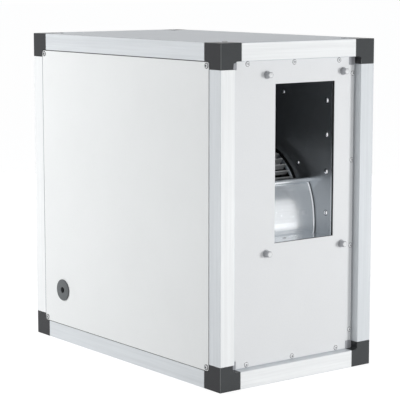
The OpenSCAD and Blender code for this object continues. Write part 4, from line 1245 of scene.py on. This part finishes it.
# %% Lamps
# Each lamp's place, what it is aimed at, its size in metres and its power in watts
LAMPS = {
    "left_lamp": ((-1.5, 1.3, 0.7), (-0.1, 0.2, 0.4), (0.9, 0.8), 24),
    "front_lamp": ((1.25, -1.95, 0.4), (0.05, -0.28, 0.3), (0.45, 0.45), 22),
    "fill_lamp": ((-0.3, -1.5, 0.4), (-0.1, -0.28, 0.3), (0.6, 0.6), 2.5),
    "rear_lamp": ((1.6, 1.9, 0.4), (0, 0, 0.3), (1.6, 0.8), 16),
}
for name, (place, aim, size, power) in LAMPS.items():
    data = bpy.data.lights.new(name, "AREA")
    data.shape, data.size, data.size_y, data.energy = "RECTANGLE", *size, power
    made = linked(name, data)
    made.location = place
    made.rotation_euler = (Vector(aim) - Vector(place)).to_track_quat("-Z", "Y").to_euler()
    made.visible_glossy = False
print("lamps:", list(LAMPS))

# %% [markdown]
# ## A dark flag and the floor
# Curved metal copies the whole studio. A grey board, which photographers call a flag, stands high
# at the right front and shows in reflections only, so the scroll gets its shaded upper part. The
# floor is plain paper that glows for the camera, so it ends in the same white as the room.


# %% Flag
def board(name, corners, material):
    """A flat board between four corners."""
    mesh = bpy.data.meshes.new(name)
    mesh.from_pydata(corners, [], [(0, 1, 2, 3)])
    mesh.materials.append(material)
    return linked(name, mesh)


def empty_material(name):
    """A material without nodes, and its tree."""
    material = bpy.data.materials.new(name)
    material.use_nodes = True
    material.node_tree.nodes.clear()
    return material, material.node_tree


FLAG_HALF, FLAG_TALL, FLAG_PLACE = 1.5, 2.2, (1.6, -1.6, 0.95)
grey, tree = empty_material("grey_board")
tree.links.new(put(tree, "ShaderNodeEmission", (0.3, 0.32, 0.34, 1), 1.0),
               put(tree, "ShaderNodeOutputMaterial").inputs[0])
flag = board("dark_flag", [(-FLAG_HALF, 0, 0), (FLAG_HALF, 0, 0), (FLAG_HALF, 0, FLAG_TALL),
                           (-FLAG_HALF, 0, FLAG_TALL)], grey)
flag.data.transform(Matrix.Translation(FLAG_PLACE) @ Matrix.Rotation(math.pi / 4, 4, "Z"))
flag.visible_camera = flag.visible_diffuse = flag.visible_shadow = False
flag.visible_transmission = flag.visible_volume_scatter = False
print("flag", 2 * FLAG_HALF, "m wide")

# %% Floor
FLOOR_HALF, GLOW = 30, 0.86
paper, tree = empty_material("white_paper")
matt = put(tree, "ShaderNodeBsdfDiffuse", (0.60, 0.60, 0.60, 1))
glow = put(tree, "ShaderNodeEmission", (1, 1, 1, 1), GLOW)
pale = put(tree, "ShaderNodeBsdfDiffuse", (0.30, 0.30, 0.30, 1))
lit = put(tree, "ShaderNodeAddShader", glow, pale)
tree.links.new(put(tree, "ShaderNodeMixShader", seen_by(tree, "Camera", "Glossy"), matt, lit),
               put(tree, "ShaderNodeOutputMaterial").inputs[0])
floor = board("floor", [(-FLOOR_HALF, -FLOOR_HALF, 0), (FLOOR_HALF, -FLOOR_HALF, 0),
                        (FLOOR_HALF, FLOOR_HALF, 0), (-FLOOR_HALF, FLOOR_HALF, 0)], paper)
print("floor", FLOOR_HALF * 2, "m wide")
